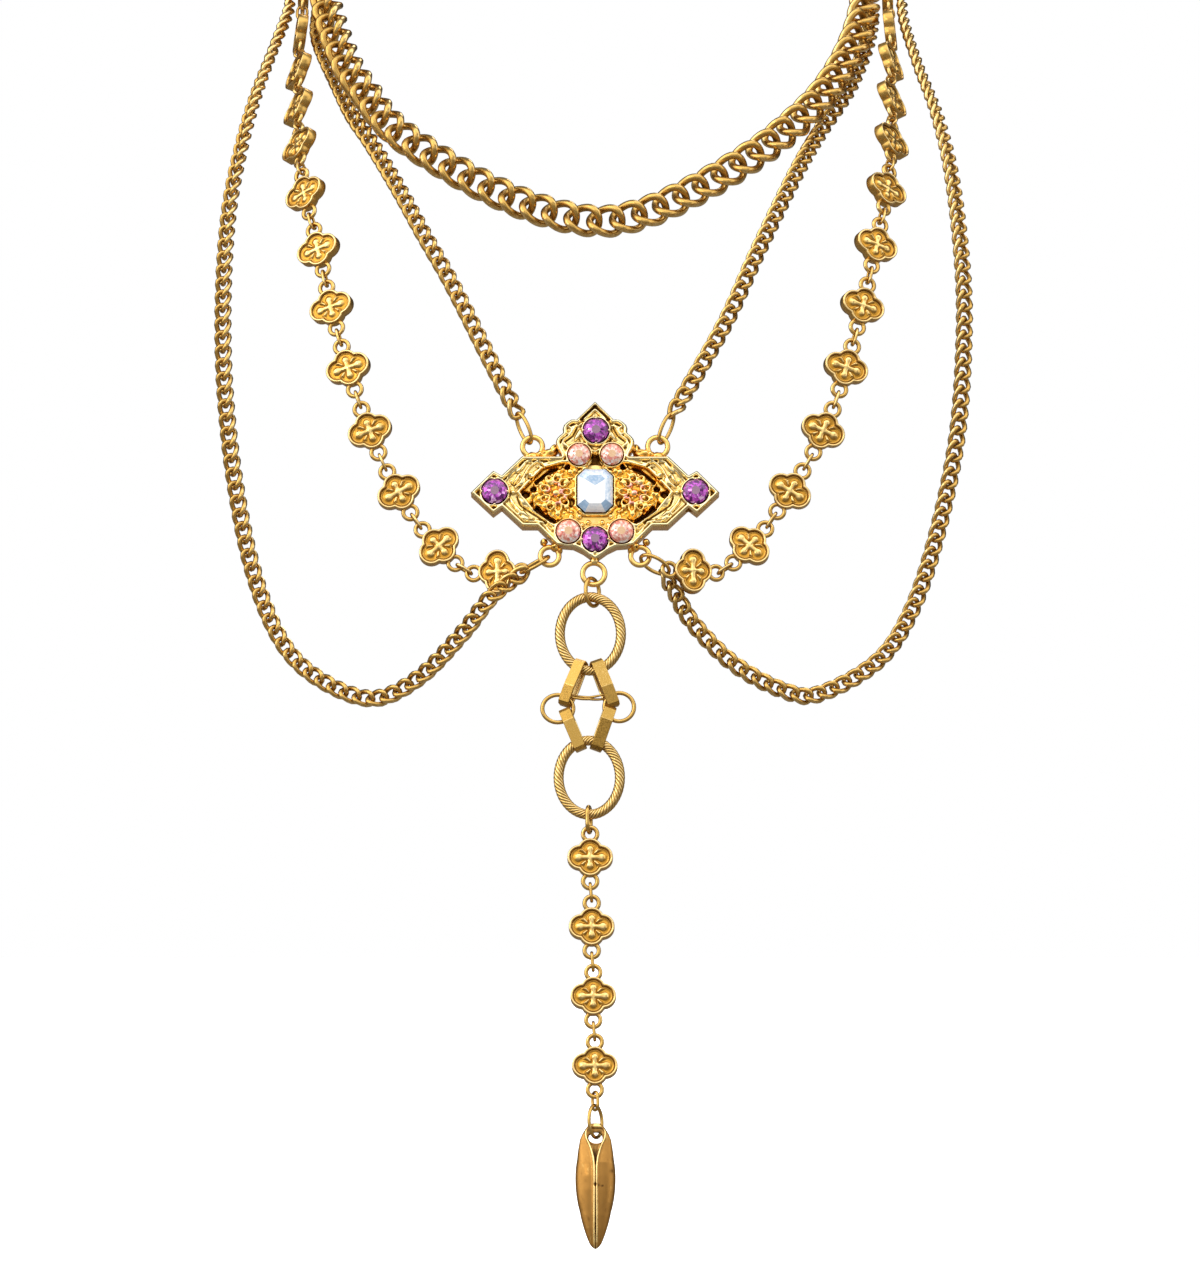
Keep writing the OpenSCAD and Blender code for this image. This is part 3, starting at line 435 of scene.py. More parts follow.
def curb_shape(half_long, half_wide, twist, radius):
    """One link of a curb chain: an oval of wire, twisted so that both faces lie flat."""

    def shape(u, w):
        line = Vector((half_long * math.cos(u), half_wide * math.sin(u), twist * math.sin(2 * u)))
        slope = Vector((-half_long * math.sin(u), half_wide * math.cos(u), 2 * twist * math.cos(2 * u))).normalized()
        out = slope.cross(Vector((0, 0, 1))).normalized()
        up = out.cross(slope)
        outward = math.cos(w)
        # Painted light and shade: the wire is painted lighter on the outer side of the link and darker on its inner
        # side and at its ends, where the links meet.
        tone = 0.69 + 0.28 * outward - 0.12 * abs(math.cos(u)) ** 6
        return line + radius * (outward * out + math.sin(w) * up), tone
    return shape


def oval_shape(long, wide, wire):
    mean = (wide - wire) / 2
    reach = (long - wide) / 2

    def shape(u, w):
        x, y = math.cos(u), math.sin(u)
        slip = reach * max(-1.0, min(1.0, 2.5 * x))
        r = wire / 2 * math.cos(w)
        # Painted light and shade: the wire is painted lighter on the outer side of the loop and darker on its inner
        # side.
        return Vector((slip + (mean + r) * x, (mean + r) * y, wire / 2 * math.sin(w))), 0.72 + 0.15 * math.cos(w)
    return shape


def copied(template, places):
    """Copies of one shape, each at its own place, in one bmesh."""
    bm = bmesh.new()
    for place in places:
        joined(bm, template.copy(), place)
    return bm


def joined(bm, other, place=None):
    if place:
        bmesh.ops.transform(other, matrix=place, verts=other.verts)
    mesh = bpy.data.meshes.new("joined")
    other.to_mesh(mesh)
    other.free()
    bm.from_mesh(mesh)
    bpy.data.meshes.remove(mesh)


# The heavy chain round the neck
HEAVY_COUNT = 76
heavy_pitch = track_end(heavy_track) / HEAVY_COUNT
heavy_link = wire_loop(36, 10, curb_shape(3.725, 3.0, 1.5, 0.88))
spots = [(k + 0.5) * heavy_pitch for k in range(HEAVY_COUNT)]
places = [stand(at(heavy_track, s), heading(heavy_track, s), facing(heavy_track, s)) for s in spots]
finished("heavy_curb_chain", copied(heavy_link, places), antique_gold, "neck_chain")
heavy_link.free()


# The fine curb chains
def fine_chain(name, route_track, pitch, first_out, last_out, node):
    """Links at an even pitch; the last three at each end turn square to the ring that holds them."""
    lead = 1.15
    between = track_end(route_track) - 2 * lead
    count = round(between / pitch) + 1
    link = wire_loop(16, 6, curb_shape(2.3, 1.5, 0.8, 0.58))
    turning = 3
    places = []
    for k in range(count):
        s = lead + k * (between / (count - 1))
        out = facing(route_track, s)
        for end_out, away in ((first_out, k), (last_out, count - 1 - k)):
            if away < turning:
                held = np.array(end_out) * (1 if np.dot(end_out, out) > 0 else -1)
                out = unit(held * (1 - away / turning) + out * away / turning)
        places.append(stand(at(route_track, s), heading(route_track, s), out))
    finished(name, copied(link, places), antique_gold, node)
    link.free()


def top_out(side):
    end = at(front_tracks[side], track_end(front_tracks[side]))
    way = unit(end - eye_at(side, TOP))
    return np.cross(way, square_to([side * 0.85, -0.5, 0], way))


for side, word in SIDES:
    fine_chain("fine_chain_front_" + word, front_tracks[side], 3.46, gather_line(side, -70), top_out(side),
               "front_chain_" + word)
    fine_chain("fine_chain_outer_" + word, outer_tracks[side], 3.25, gather_line(side, -15),
               low_line(side, -side * 46), "outer_chain_" + word)


# Oval rings between the chains and the plaque's eyes
def jump_ring(name, a, b, half_wide, out, node):
    """An oval of wire between two places."""
    way = b - a
    ring = wire_loop(36, 12, curb_shape(np.linalg.norm(way) / 2, half_wide, 0, 0.43))
    finished(name, ring, plain_gold, node, place=stand((a + b) / 2, unit(way), out))


for side, word in SIDES:
    eye = eye_at(side, TOP)
    end = at(front_tracks[side], track_end(front_tracks[side]))
    way = unit(end - eye)
    jump_ring("jump_ring_top_" + word, eye + 1.1 * way, end - 0.15 * way, 1.75,
              square_to([side * 0.85, -0.5, 0], way), "plaque_ring_top_" + word)
    x, _, z = low_frame(side)
    eye = eye_at(side, LOW) + 0.3 * x
    jump_ring("jump_ring_low_" + word, eye, eye + 7.1 * x, 2.35, z, "plaque_ring_low_" + word)


# Quatrefoils: a contour that runs in from the four petals, a rounded rim, a sunk field and a cross
LEAF_LONG, LEAF_HIGH, LEAF_EYE = 4.3, 5.1, 5.4
PETAL = (LEAF_LONG + LEAF_HIGH) / 3.4
PETAL_CENTRES = [(LEAF_LONG - PETAL, 0), (PETAL - LEAF_LONG, 0), (0, LEAF_HIGH - PETAL), (0, PETAL - LEAF_HIGH)]
# From the back over the rim to the field: inset, height, tone, warmth
RIM_ROWS = [
    (0.9, -1.2, 0.5, 0.3), (0.16, -1.2, 0.6, 0.0), (0.0, -1.04, 0.6, 0.0), (0.0, 0.98, 0.72, 0.0),
    (0.08, 1.13, 0.95, 0.0), (0.24, 1.2, 1.0, 0.0), (0.42, 1.17, 0.95, 0.0), (0.54, 1.02, 0.7, 0.0),
    (0.6, 0.62, 0.05, 0.6), (0.78, 0.6, 0.45, 0.9), (0.86, 0.7, 0.72, 0.5), (0.96, 0.7, 0.72, 0.5),
    (1.02, 0.6, 0.4, 0.9)]
LEAF_FIELD = 0.6
LEAF_BULBS = [(0, 2.5, 0.95), (1.85, 0, 0.85), (0, 0, 0.95)]


def petal_edge(a, inset):
    """Distance from the middle to the edge of the four petals, drawn in by a width."""
    far = 0
    for cx, cy in PETAL_CENTRES:
        along = cx * math.cos(a) + cy * math.sin(a)
        under = (PETAL - inset) ** 2 - cx * cx - cy * cy + along * along
        if under > 0:
            far = max(far, along + math.sqrt(under))
    return far


def dome(d, radius):
    return math.sqrt(max(0.0, 1 - (d / radius) ** 2))


def field_height(x, y):
    """Height and tone of the sunk field: a bulb-ended cross and a cusp in from each notch."""
    x, y = abs(x), abs(y)
    rise = max(0.5 * dome(math.hypot(x - cx, y - cy), r) for cx, cy, r in LEAF_BULBS)
    if y < 2.4:
        rise = max(rise, 0.42 * dome(x, 0.6))
    if x < 1.7:
        rise = max(rise, 0.42 * dome(y, 0.6))
    along = max(0.0, min(1.4, ((x - 0.95) * 0.8 + (y - 1.05) * 0.85) / 1.36))
    aside = math.hypot(x - 0.95 - 0.8 * along, y - 1.05 - 0.85 * along)
    cusp_wide = 0.26 + 0.12 * along
    cusp = dome(min(aside, cusp_wide), cusp_wide)
    if cusp > 0:
        return LEAF_FIELD + max(rise, (0.4 + 0.15 * along) * cusp), 0.5 + 0.42 * cusp
    # Painted shade: small dents between the cross's arms are painted dark.
    shaded_pocket = math.exp(-((x - 0.78) ** 2 + (y - 0.85) ** 2) / 0.12) if rise == 0 else 0
    return LEAF_FIELD + rise - 0.15 * shaded_pocket, 0.66 + 0.6 * rise - 0.55 * shaded_pocket


def lofted(rings, tones):
    """A closed skin over rings of the same number of places, each ring extruded from the one before."""
    bm = bmesh.new()
    tone, warmth = layers_of(bm)
    column = bm.verts.layers.int.new("column")
    verts = bmesh.ops.create_circle(bm, segments=len(rings[0]), radius=1)["verts"]
    for k, v in enumerate(verts):
        v[column] = k
    first_edges = edges = bm.edges[:]
    for number, (ring, shade) in enumerate(zip(rings, tones)):
        if number:
            made = bmesh.ops.extrude_edge_only(bm, edges=edges)["geom"]
            verts, edges = verts_in(made), edges_in(made)
        for v in verts:
            v.co = ring[v[column]]
            v[tone], v[warmth] = shade[v[column]] if isinstance(shade, list) else shade
    bmesh.ops.contextual_create(bm, geom=edges)
    bmesh.ops.contextual_create(bm, geom=first_edges)
    bmesh.ops.recalc_face_normals(bm, faces=bm.faces)
    return bm


def quatrefoil():
    angles = [TAU * k / 80 for k in range(80)]
    rings, tones = [], []
    for inset, height, tone, warmth in RIM_ROWS:
        reach = [petal_edge(a, inset) for a in angles]
        rings.append([(r * math.cos(a), r * math.sin(a), height) for a, r in zip(angles, reach)])
        tones.append((tone, warmth))
    for share in (0.95, 0.88, 0.8, 0.72, 0.64, 0.56, 0.48, 0.4, 0.3, 0.2, 0.1):
        points, shades = [], []
        for a, r in zip(angles, reach):
            x, y = share * r * math.cos(a), share * r * math.sin(a)
            z, shade = field_height(x, y)
            points.append((x, y, z))
            shades.append((shade, 1.0 if shade < 0.75 else 0.4))
        rings.append(points)
        tones.append(shades)
    bm = lofted(rings, tones)
    eye = wire_loop(28, 10, oval_shape(4.2, 4.2, 1.0))
    for side in (-1, 1):
        joined(bm, eye.copy(), Matrix.Translation((side * LEAF_EYE, 0, 0)))
    eye.free()
    return bm


leaf = quatrefoil()
LEAVES = 13
LEAF_PITCH = 15.8
# From a quatrefoil's middle to the end of the small link in its eye
LEAF_HOLD = LEAF_EYE + 0.5


def leaf_middle(t, s):
    """The middle of a quatrefoil whose two eyes lie on the track."""
    return (at(t, s - LEAF_EYE) + at(t, s + LEAF_EYE)) / 2


def leaf_way(t, s):
    return unit(at(t, s + LEAF_EYE) - at(t, s - LEAF_EYE))


for side, word in SIDES:
    t = strand_tracks[side]
    last = track_end(t) - LEAF_EYE
    start = last - (LEAVES - 1) * LEAF_PITCH
    places = []
    links_bm = bmesh.new()
    for k in range(LEAVES):
        s = start + k * LEAF_PITCH
        before = s - LEAF_PITCH
        places.append(stand(leaf_middle(t, s), leaf_way(t, s), facing(t, s)))
        if k == 0:
            begin = at(t, 0) - 1.1 * heading(t, 1)
            middle = s / 3
        else:
            begin = leaf_middle(t, before) + LEAF_HOLD * leaf_way(t, before)
            middle = s - LEAF_PITCH / 2
        end = leaf_middle(t, s) - LEAF_HOLD * leaf_way(t, s)
        out = np.cross(heading(t, middle), facing(t, middle))
        link = wire_loop(20, 8, oval_shape(np.linalg.norm(end - begin) + 0.7, 3.0, 0.7))
        joined(links_bm, link, stand((begin + end) / 2, end - begin, out))
    strand = copied(leaf, places)
    joined(strand, links_bm)
    finished("quatrefoils_" + word, strand, antique_gold, "quatrefoil_strand_" + word)

for k in range(4):
    place = at_front(-1.1 + 0.35 * k, -84 - k * LEAF_PITCH) @ Matrix.Rotation(-math.pi / 2, 4, "Z")
    finished(f"drop_leaf_{k + 1}", leaf.copy(), antique_gold, f"drop_quatrefoil_{k + 1}", place=place)
leaf.free()


# Twisted rings of the drop: eight strands turn seven times round the wire, and the mesh turns with them
def twisted_ring(name, x, y, node):
    wide, high, wire = 16, 19.3, 2.3
    a, b = (wide - wire) / 2, (high - wire) / 2

    def shape(u, w):
        out = Vector((b * math.cos(u), a * math.sin(u), 0)).normalized()
        strand = abs(math.cos(4 * w))
        r = wire / 2 * (0.86 + 0.14 * strand ** 0.6)
        where = Vector((a * math.cos(u), b * math.sin(u), 0))
        angle = w + 7 * u
        where += r * (math.cos(angle) * out + math.sin(angle) * Vector((0, 0, 1)))
        # Painted shade: the tone is dark in the grooves between the strands and light on their crowns.
        return where, 0.12 + 0.86 * strand ** 0.8

    finished(name, wire_loop(210, 48, shape), antique_gold, node, place=at_front(x, y))


twisted_ring("twisted_ring_top", -1.05, -32.5, "twisted_ring_upper")
twisted_ring("twisted_ring_base", -1.3, -65.6, "twisted_ring_lower")


# Folded strap links: a band of metal closed round both rings, with a fold across its front
def strap_link(name, start, end, wide, tilt, fold, shades, node):
    """A strap from one place to another, leant by tilt. The shades are painted light and shade for its faces before and
    after the fold.
    """
    deep, thick = 4.1, 0.6
    way = np.array([end[0] - start[0], end[1] - start[1], 0])
    long = np.linalg.norm(way)
    dx, dy, _ = way / long
    rise = deep / 2 + 0.25
    half = [(0, deep / 2 - 1.1), (0.7, deep / 2 - 0.3), (fold, rise), (long - 0.7, deep / 2 - 0.45),
            (long, deep / 2 - 1.2)]
    outline = half + [(p, -min(q, deep / 2)) for p, q in reversed(half)]
    ends = (0, 4, 5, 9)
    bm = bmesh.new()
    tone, warmth = layers_of(bm)
    column = bm.verts.layers.int.new("column")
    ring = bmesh.ops.create_circle(bm, segments=len(outline), radius=1)["verts"]
    for k, v in enumerate(ring):
        v[column] = k
        v.co = (outline[k][0], outline[k][1], -wide / 2)
    grown = bmesh.ops.extrude_edge_only(bm, edges=bm.edges[:])["geom"]
    for v in verts_in(grown):
        k = v[column]
        p, q = outline[k]
        v.co.x = min(max(p, thick), long - thick)
        v.co.y = q - math.copysign(0.12 if k in ends else thick, q)
    solid = bmesh.ops.extrude_face_region(bm, geom=bm.faces[:])["geom"]
    bmesh.ops.translate(bm, vec=(0, 0, wide), verts=verts_in(solid))
    bmesh.ops.recalc_face_normals(bm, faces=bm.faces)
    sharp = [e for e in bm.edges if len(e.link_faces) == 2 and e.calc_face_angle(0) > 0.9]
    bmesh.ops.bevel(bm, geom=sharp, offset=0.16, offset_type="OFFSET", segments=2, profile=0.5, affect="EDGES",
                    material=-1)
    for x in (fold - 0.12, fold + 0.12):
        bmesh.ops.bisect_plane(bm, geom=bm.verts[:] + bm.edges[:] + bm.faces[:], plane_co=(x, 0, 0), plane_no=(1, 0, 0))
    # The front edges and the fold line take a bright tone, partly polished wear and partly a painted highlight; the
    # rest takes the painted shade given for its side of the fold.
    for v in bm.verts:
        polished = abs(abs(v.co.z) - wide / 2) < 0.17 and v.co.y > 0 or abs(v.co.x - fold) < 0.05
        v[tone] = 0.97 if polished else shades[v.co.x >= fold]
        v[warmth] = 0.25
    c, s = math.cos(math.radians(tilt)), math.sin(math.radians(tilt))
    place = FRONT @ stand((*start, MID), (dx, dy, 0), (-dy * c, dx * c, s))
    finished(name, bm, brushed_gold, node, place=place, flat=True)


strap_link("strap_top_left", (-2.85, -38.75), (-6.95, -49.1), 2.6, 16, 6.6, (0.72, 0.36), "strap_link_upper_left")
strap_link("strap_top_right", (0.05, -38.75), (4.2, -49.4), 2.8, -8, 6.6, (0.75, 0.4), "strap_link_upper_right")
strap_link("strap_base_left", (-3.05, -59.3), (-6.9, -49.9), 2.6, -8, 7.2, (0.72, 0.42), "strap_link_lower_left")
strap_link("strap_base_right", (0.1, -59.3), (3.5, -49.3), 2.7, 8, 7.2, (0.3, 0.72), "strap_link_lower_right")


# The round side rings and the thin link across, at the straps' far ends
def side_ring(name, x, y, half_wide, half_high, node):
    r = 0.48
    ring = wire_loop(48, 12, curb_shape(half_wide - r, half_high - r, 0, r))
    finished(name, ring, plain_gold, node, place=at_front(x, y))


side_ring("side_ring_west", -8.35, -49.75, 3.95, 3.65, "side_ring_left")
side_ring("side_ring_east", 5.4, -49.4, 3.8, 3.75, "side_ring_right")


def thin_link(u, w):
    half, r = 5.0, 0.32
    x = half * math.cos(u)
    y = 0.45 * math.sin(u) * (0.4 + abs(math.cos(u))) - 0.75 * (1 - (x / half) ** 2)
    line = Vector((x, y, 0.45 * math.sin(2 * u)))
    return line + Vector((r * math.cos(w) * math.cos(u), r * math.cos(w) * math.sin(u), r * math.sin(w))), 0.7


finished("thin_link_across", wire_loop(60, 8, thin_link), plain_gold, "cross_link", place=at_front(-1.3, -46.6))


# The plaque: a cast front in relief over a hollow back
HALF_OUTLINE = [
    (0, 20.9), (4.2, 16.7), (4.6, 16.8), (5.3, 16.75), (6.2, 16.2), (6.95, 15.5), (7.25, 14.6), (7.15, 13.85),
    (7.3, 13.5), (7.95, 13.0), (8.55, 12.3), (8.8, 11.5), (8.65, 10.6), (8.3, 9.6), (7.8, 8.7), (7.6, 8.2), (16.4, 8.2),
    (21, 3.7), (22.9, 4.8), (28, -0.3), (22.9, -5.2), (21, -3.7), (16.4, -8.1),
    (12.9, -8.1), (8.7, -12.4), (4.9, -12.7), (2.7, -13.8), (0, -15.8)]
OUTLINE = HALF_OUTLINE + [(-x, y) for x, y in reversed(HALF_OUTLINE[1:-1])]
FIELD = 4.2
# Round stones: x, y and width
STONES = {
    "purple_stone_top": (0.2, 14.1, 5.6), "purple_stone_left": (-22.6, -0.1, 5.6),
    "purple_stone_right": (22.6, -0.1, 5.6), "purple_stone_bottom": (0, -11.2, 5.6),
    "pink_stone_upper_left": (-3.6, 8.5, 4.9), "pink_stone_upper_right": (3.8, 8.5, 4.9),
    "pink_stone_lower_left": (-6.0, -9.4, 5.3), "pink_stone_lower_right": (5.9, -9.4, 5.3)}
# Sunk places of the right half: the slots beside the filigree, and three holes
SLOTS = [
    [(8.4, 5.75), (10.2, 5.25), (13.6, 2.4), (13.1, 1.7), (11.3, 3.6), (8.8, 5.0)],
    [(8.8, -7.0), (9.9, -7.1), (13.7, -4.3), (13.1, -3.3), (11.3, -5.2), (9.2, -6.4)]]
HOLES = [(15.6, -0.5, 0.75), (13.9, 0.7, 0.55), (6.3, 5.75, 0.45)]
# The crystal's half width, half height and cut corners
CRYSTAL = (3.95, 4.95, 1.65)
ARCH = [(-1.6, 5.5), (1.6, 5.5), (1.6, 6.9), (0.5, 8.6), (-0.5, 8.6), (-1.6, 6.9)]
# The filigree's discs and the nuggets on them: x, y and radius
CLUSTER = [(8.8, -0.4, 3.0), (8.2, 3.0, 2.3), (11.7, 1.3, 2.1), (11.9, -2.4, 2.1), (8.6, -4.3, 2.2),
           (5.6, 4.9, 2.0), (5.5, -5.6, 2.1), (5.4, 0.6, 2.2), (13.7, -0.6, 1.2), (15.0, -1.9, 0.9)]
NUGGETS = [(8.8, -0.4, 1.1), (8.1, 3.6, 0.9), (6.6, 2.0, 0.8), (10.2, 2.2, 0.9), (12.3, 1.9, 0.8), (11.2, 0.1, 0.7),
           (12.6, -1.6, 0.8), (11.3, -3.3, 0.9), (9.2, -3.0, 0.8), (8.4, -5.2, 0.9), (6.4, -3.6, 0.8),
           (6.6, -1.0, 0.7), (5.6, 4.6, 0.8), (5.4, -5.8, 0.7), (14.0, -0.6, 0.5)]
INNER_FRAME = [(5.0, 7.0), (7.4, 7.0), (11.9, 5.7), (17.3, -0.1), (13.6, -4.9), (9.3, -7.9), (6.2, -6.6)]
# Leaf blades on an arm and in the crown: x, y, half length, half width, turn in degrees
LEAF_BLADES = [
    (9.0, 7.3, 1.9, 0.36, -4), (18.4, 4.9, 2.3, 0.44, -49), (16.5, 5.7, 1.9, 0.42, -52), (14.9, 7.1, 1.3, 0.34, -20),
    (17.6, 3.0, 1.1, 0.34, -62), (11.2, 6.5, 1.2, 0.3, -18), (13.4, 4.7, 0.9, 0.26, -40),
    (16.2, 2.2, 1.2, 0.3, -52), (18.9, 1.9, 0.8, 0.26, -70), (18.6, -2.6, 1.5, 0.36, 62), (17.2, -4.3, 1.9, 0.42, 47),
    (15.2, -6.3, 1.7, 0.42, 22), (16.0, -2.6, 1.7, 0.32, 35), (13.9, -4.4, 1.5, 0.3, 33), (15.8, -5.1, 1.1, 0.28, 45),
    (12.4, -7.0, 1.3, 0.32, 12), (3.7, 13.3, 1.7, 0.5, -62), (4.7, 15.2, 0.9, 0.3, -30),
    (6.7, 10.9, 1.2, 0.4, 40), (10.2, -9.4, 1.3, 0.36, 50), (9.2, -10.7, 1.0, 0.3, 48), (8.3, 12.0, 0.6, 0.2, -60)]
# Drawn lines: points, half width and rise, below zero for an engraved one
DRAWN_LINES = [
    ([(12.3, 7.5), (13.5, 6.8), (14.6, 5.9), (15.4, 4.8), (16.0, 3.6), (16.8, 2.1), (18.0, 1.0)], 0.26, 0.55),
    ([(17.5, -1.2), (16.9, -3.0), (15.3, -4.2), (12.9, -5.7), (10.9, -7.2)], 0.2, -0.5),
    ([(17.2, -1.2), (16.2, -3.2), (14.9, -3.7), (12.9, -5.2)], 0.16, 0.45),
    ([(15.0, 3.2), (14.5, 2.95), (14.1, 3.2)], 0.2, -0.6), ([(18.9, 1.9), (18.3, 1.5), (17.9, 1.9)], 0.18, -0.5),
    ([(13.2, 5.9), (12.5, 6.0), (12.0, 5.6), (12.3, 5.2)], 0.2, 0.5), ([(11.6, 5.75), (12.2, 6.35)], 0.16, -0.5),
    ([(0, 19.2), (2.4, 16.9)], 0.3, 0.6), ([(0, 19.9), (3.2, 16.8)], 0.22, -0.5),
    ([(0.2, 17.9), (1.3, 16.9)], 0.18, 0.4),
    ([(4.5, 15.2), (5.5, 13.3), (7.1, 12.1), (7.6, 10.9), (7.2, 9.6), (6.3, 8.3)], 0.28, 0.6),
    ([(4.1, 14.9), (5.1, 13.0), (6.7, 11.8)], 0.15, -0.5), ([(1.9, 10.9), (0.9, 9.9), (0, 9.3)], 0.26, 0.5),
    ([(2.9, 10.9), (3.5, 12.2)], 0.18, -0.5), ([(14.8, -6.5), (13.7, -6.5)], 0.16, -0.6)]
# Round beads: x, y and radius
BEADS = [
    (18.4, -0.1, 0.5), (16.9, 3.9, 0.42), (14.6, 4.05, 0.5), (18.85, 2.5, 0.4), (17.0, -5.0, 0.36),
    (3.8, 16.4, 0.5), (2.5, 15.95, 0.4), (6.6, 14.3, 0.55), (4.6, 4.9, 0.55), (4.75, 0.6, 0.5),
    (4.75, -1.4, 0.5), (3.5, -5.7, 0.55), (4.7, 2.8, 0.42), (4.7, -3.3, 0.42), (1.6, -7.1, 0.5), (2.9, -7.6, 0.45),
    (3.0, 5.9, 0.42), (1.9, 11.0, 0.4), (7.8, -7.3, 0.4), (3.4, -12.6, 0.35), (9.4, -8.5, 0.35)]
# Knobs between the plaque and its eyes: x, y, half length, half height and turn
KNOBS = [
    (14.1, 8.6, 1.5, 1.0, 0), (10.7, 9.1, 2.3, 1.25, -12), (9.2, 10.2, 1.0, 1.3, 20), (12.4, 8.9, 1.1, 1.0, 0),
    (9.0, -12.5, 1.2, 1.0, 45), (11.5, -11.3, 0.8, 0.9, 45), (7.9, -13.3, 0.6, 0.7, 0)]
# The wall, from the front's edge round to the hollow back: height, distance in from the last row, tone
WALL_ROWS = [(4.3, -0.05, 0.75), (4.1, 0.1, 0.5), (0.5, 0.0, 0.6), (0.0, 0.35, 0.75), (0.0, 0.75, 0.5),
             (2.5, 0.0, 0.2)]


def line_distance(x, y, points, closed=False):
    """Distance to a line through points."""
    d = np.full(x.shape, 1e9)
    for (ax, ay), (bx, by) in zip(points, points[1:] + (points[:1] if closed else [])):
        dx, dy = bx - ax, by - ay
        t = np.clip(((x - ax) * dx + (y - ay) * dy) / (dx * dx + dy * dy), 0, 1)
        d = np.minimum(d, np.hypot(x - ax - t * dx, y - ay - t * dy))
    return d


def edge_distance(x, y, points):
    """Distance to a closed outline, below zero inside it."""
    odd = np.zeros(x.shape, bool)
    for (ax, ay), (bx, by) in zip(points, points[1:] + points[:1]):
        if ay != by:
            odd ^= ((ay > y) != (by > y)) & (x < ax + (y - ay) * (bx - ax) / (by - ay))
    d = line_distance(x, y, points, True)
    return np.where(odd, -d, d)


def octagon(w, h, cut):
    """The corners of a block with cut corners."""
    return [(w - cut, h), (w, h - cut), (w, -h + cut), (w - cut, -h), (-w + cut, -h), (-w, -h + cut), (-w, h - cut),
            (-w + cut, h)]


def pit_distance(x, y):
    """Distance to the deep pits beside the filigree and the arch, below zero inside them."""
    ax = np.abs(x)
    pit = edge_distance(x, y, ARCH)
    for slot in SLOTS:
        pit = np.minimum(pit, edge_distance(ax, y, slot))
    for cx, cy, r in HOLES:
        pit = np.minimum(pit, np.hypot(ax - cx, y - cy) - r)
    return pit


def swell(q, rise):
    """A rounded height that falls to nothing where q reaches 1."""
    return rise * np.sqrt(np.clip(1 - q, 0, 1))


def raised(z, q, base, rise, power=2, where=True):
    """The front with a rounded form on it wherever q, the distance over the form's own size, is under 1."""
    return np.where((q < 1) & where, np.maximum(z, base + swell(q ** power, rise)), z)


def turned(x, y, cx, cy, angle):
    """Places along and across a form that is turned by an angle."""
    c, s = math.cos(angle), math.sin(angle)
    return (x - cx) * c + (y - cy) * s, (y - cy) * c - (x - cx) * s


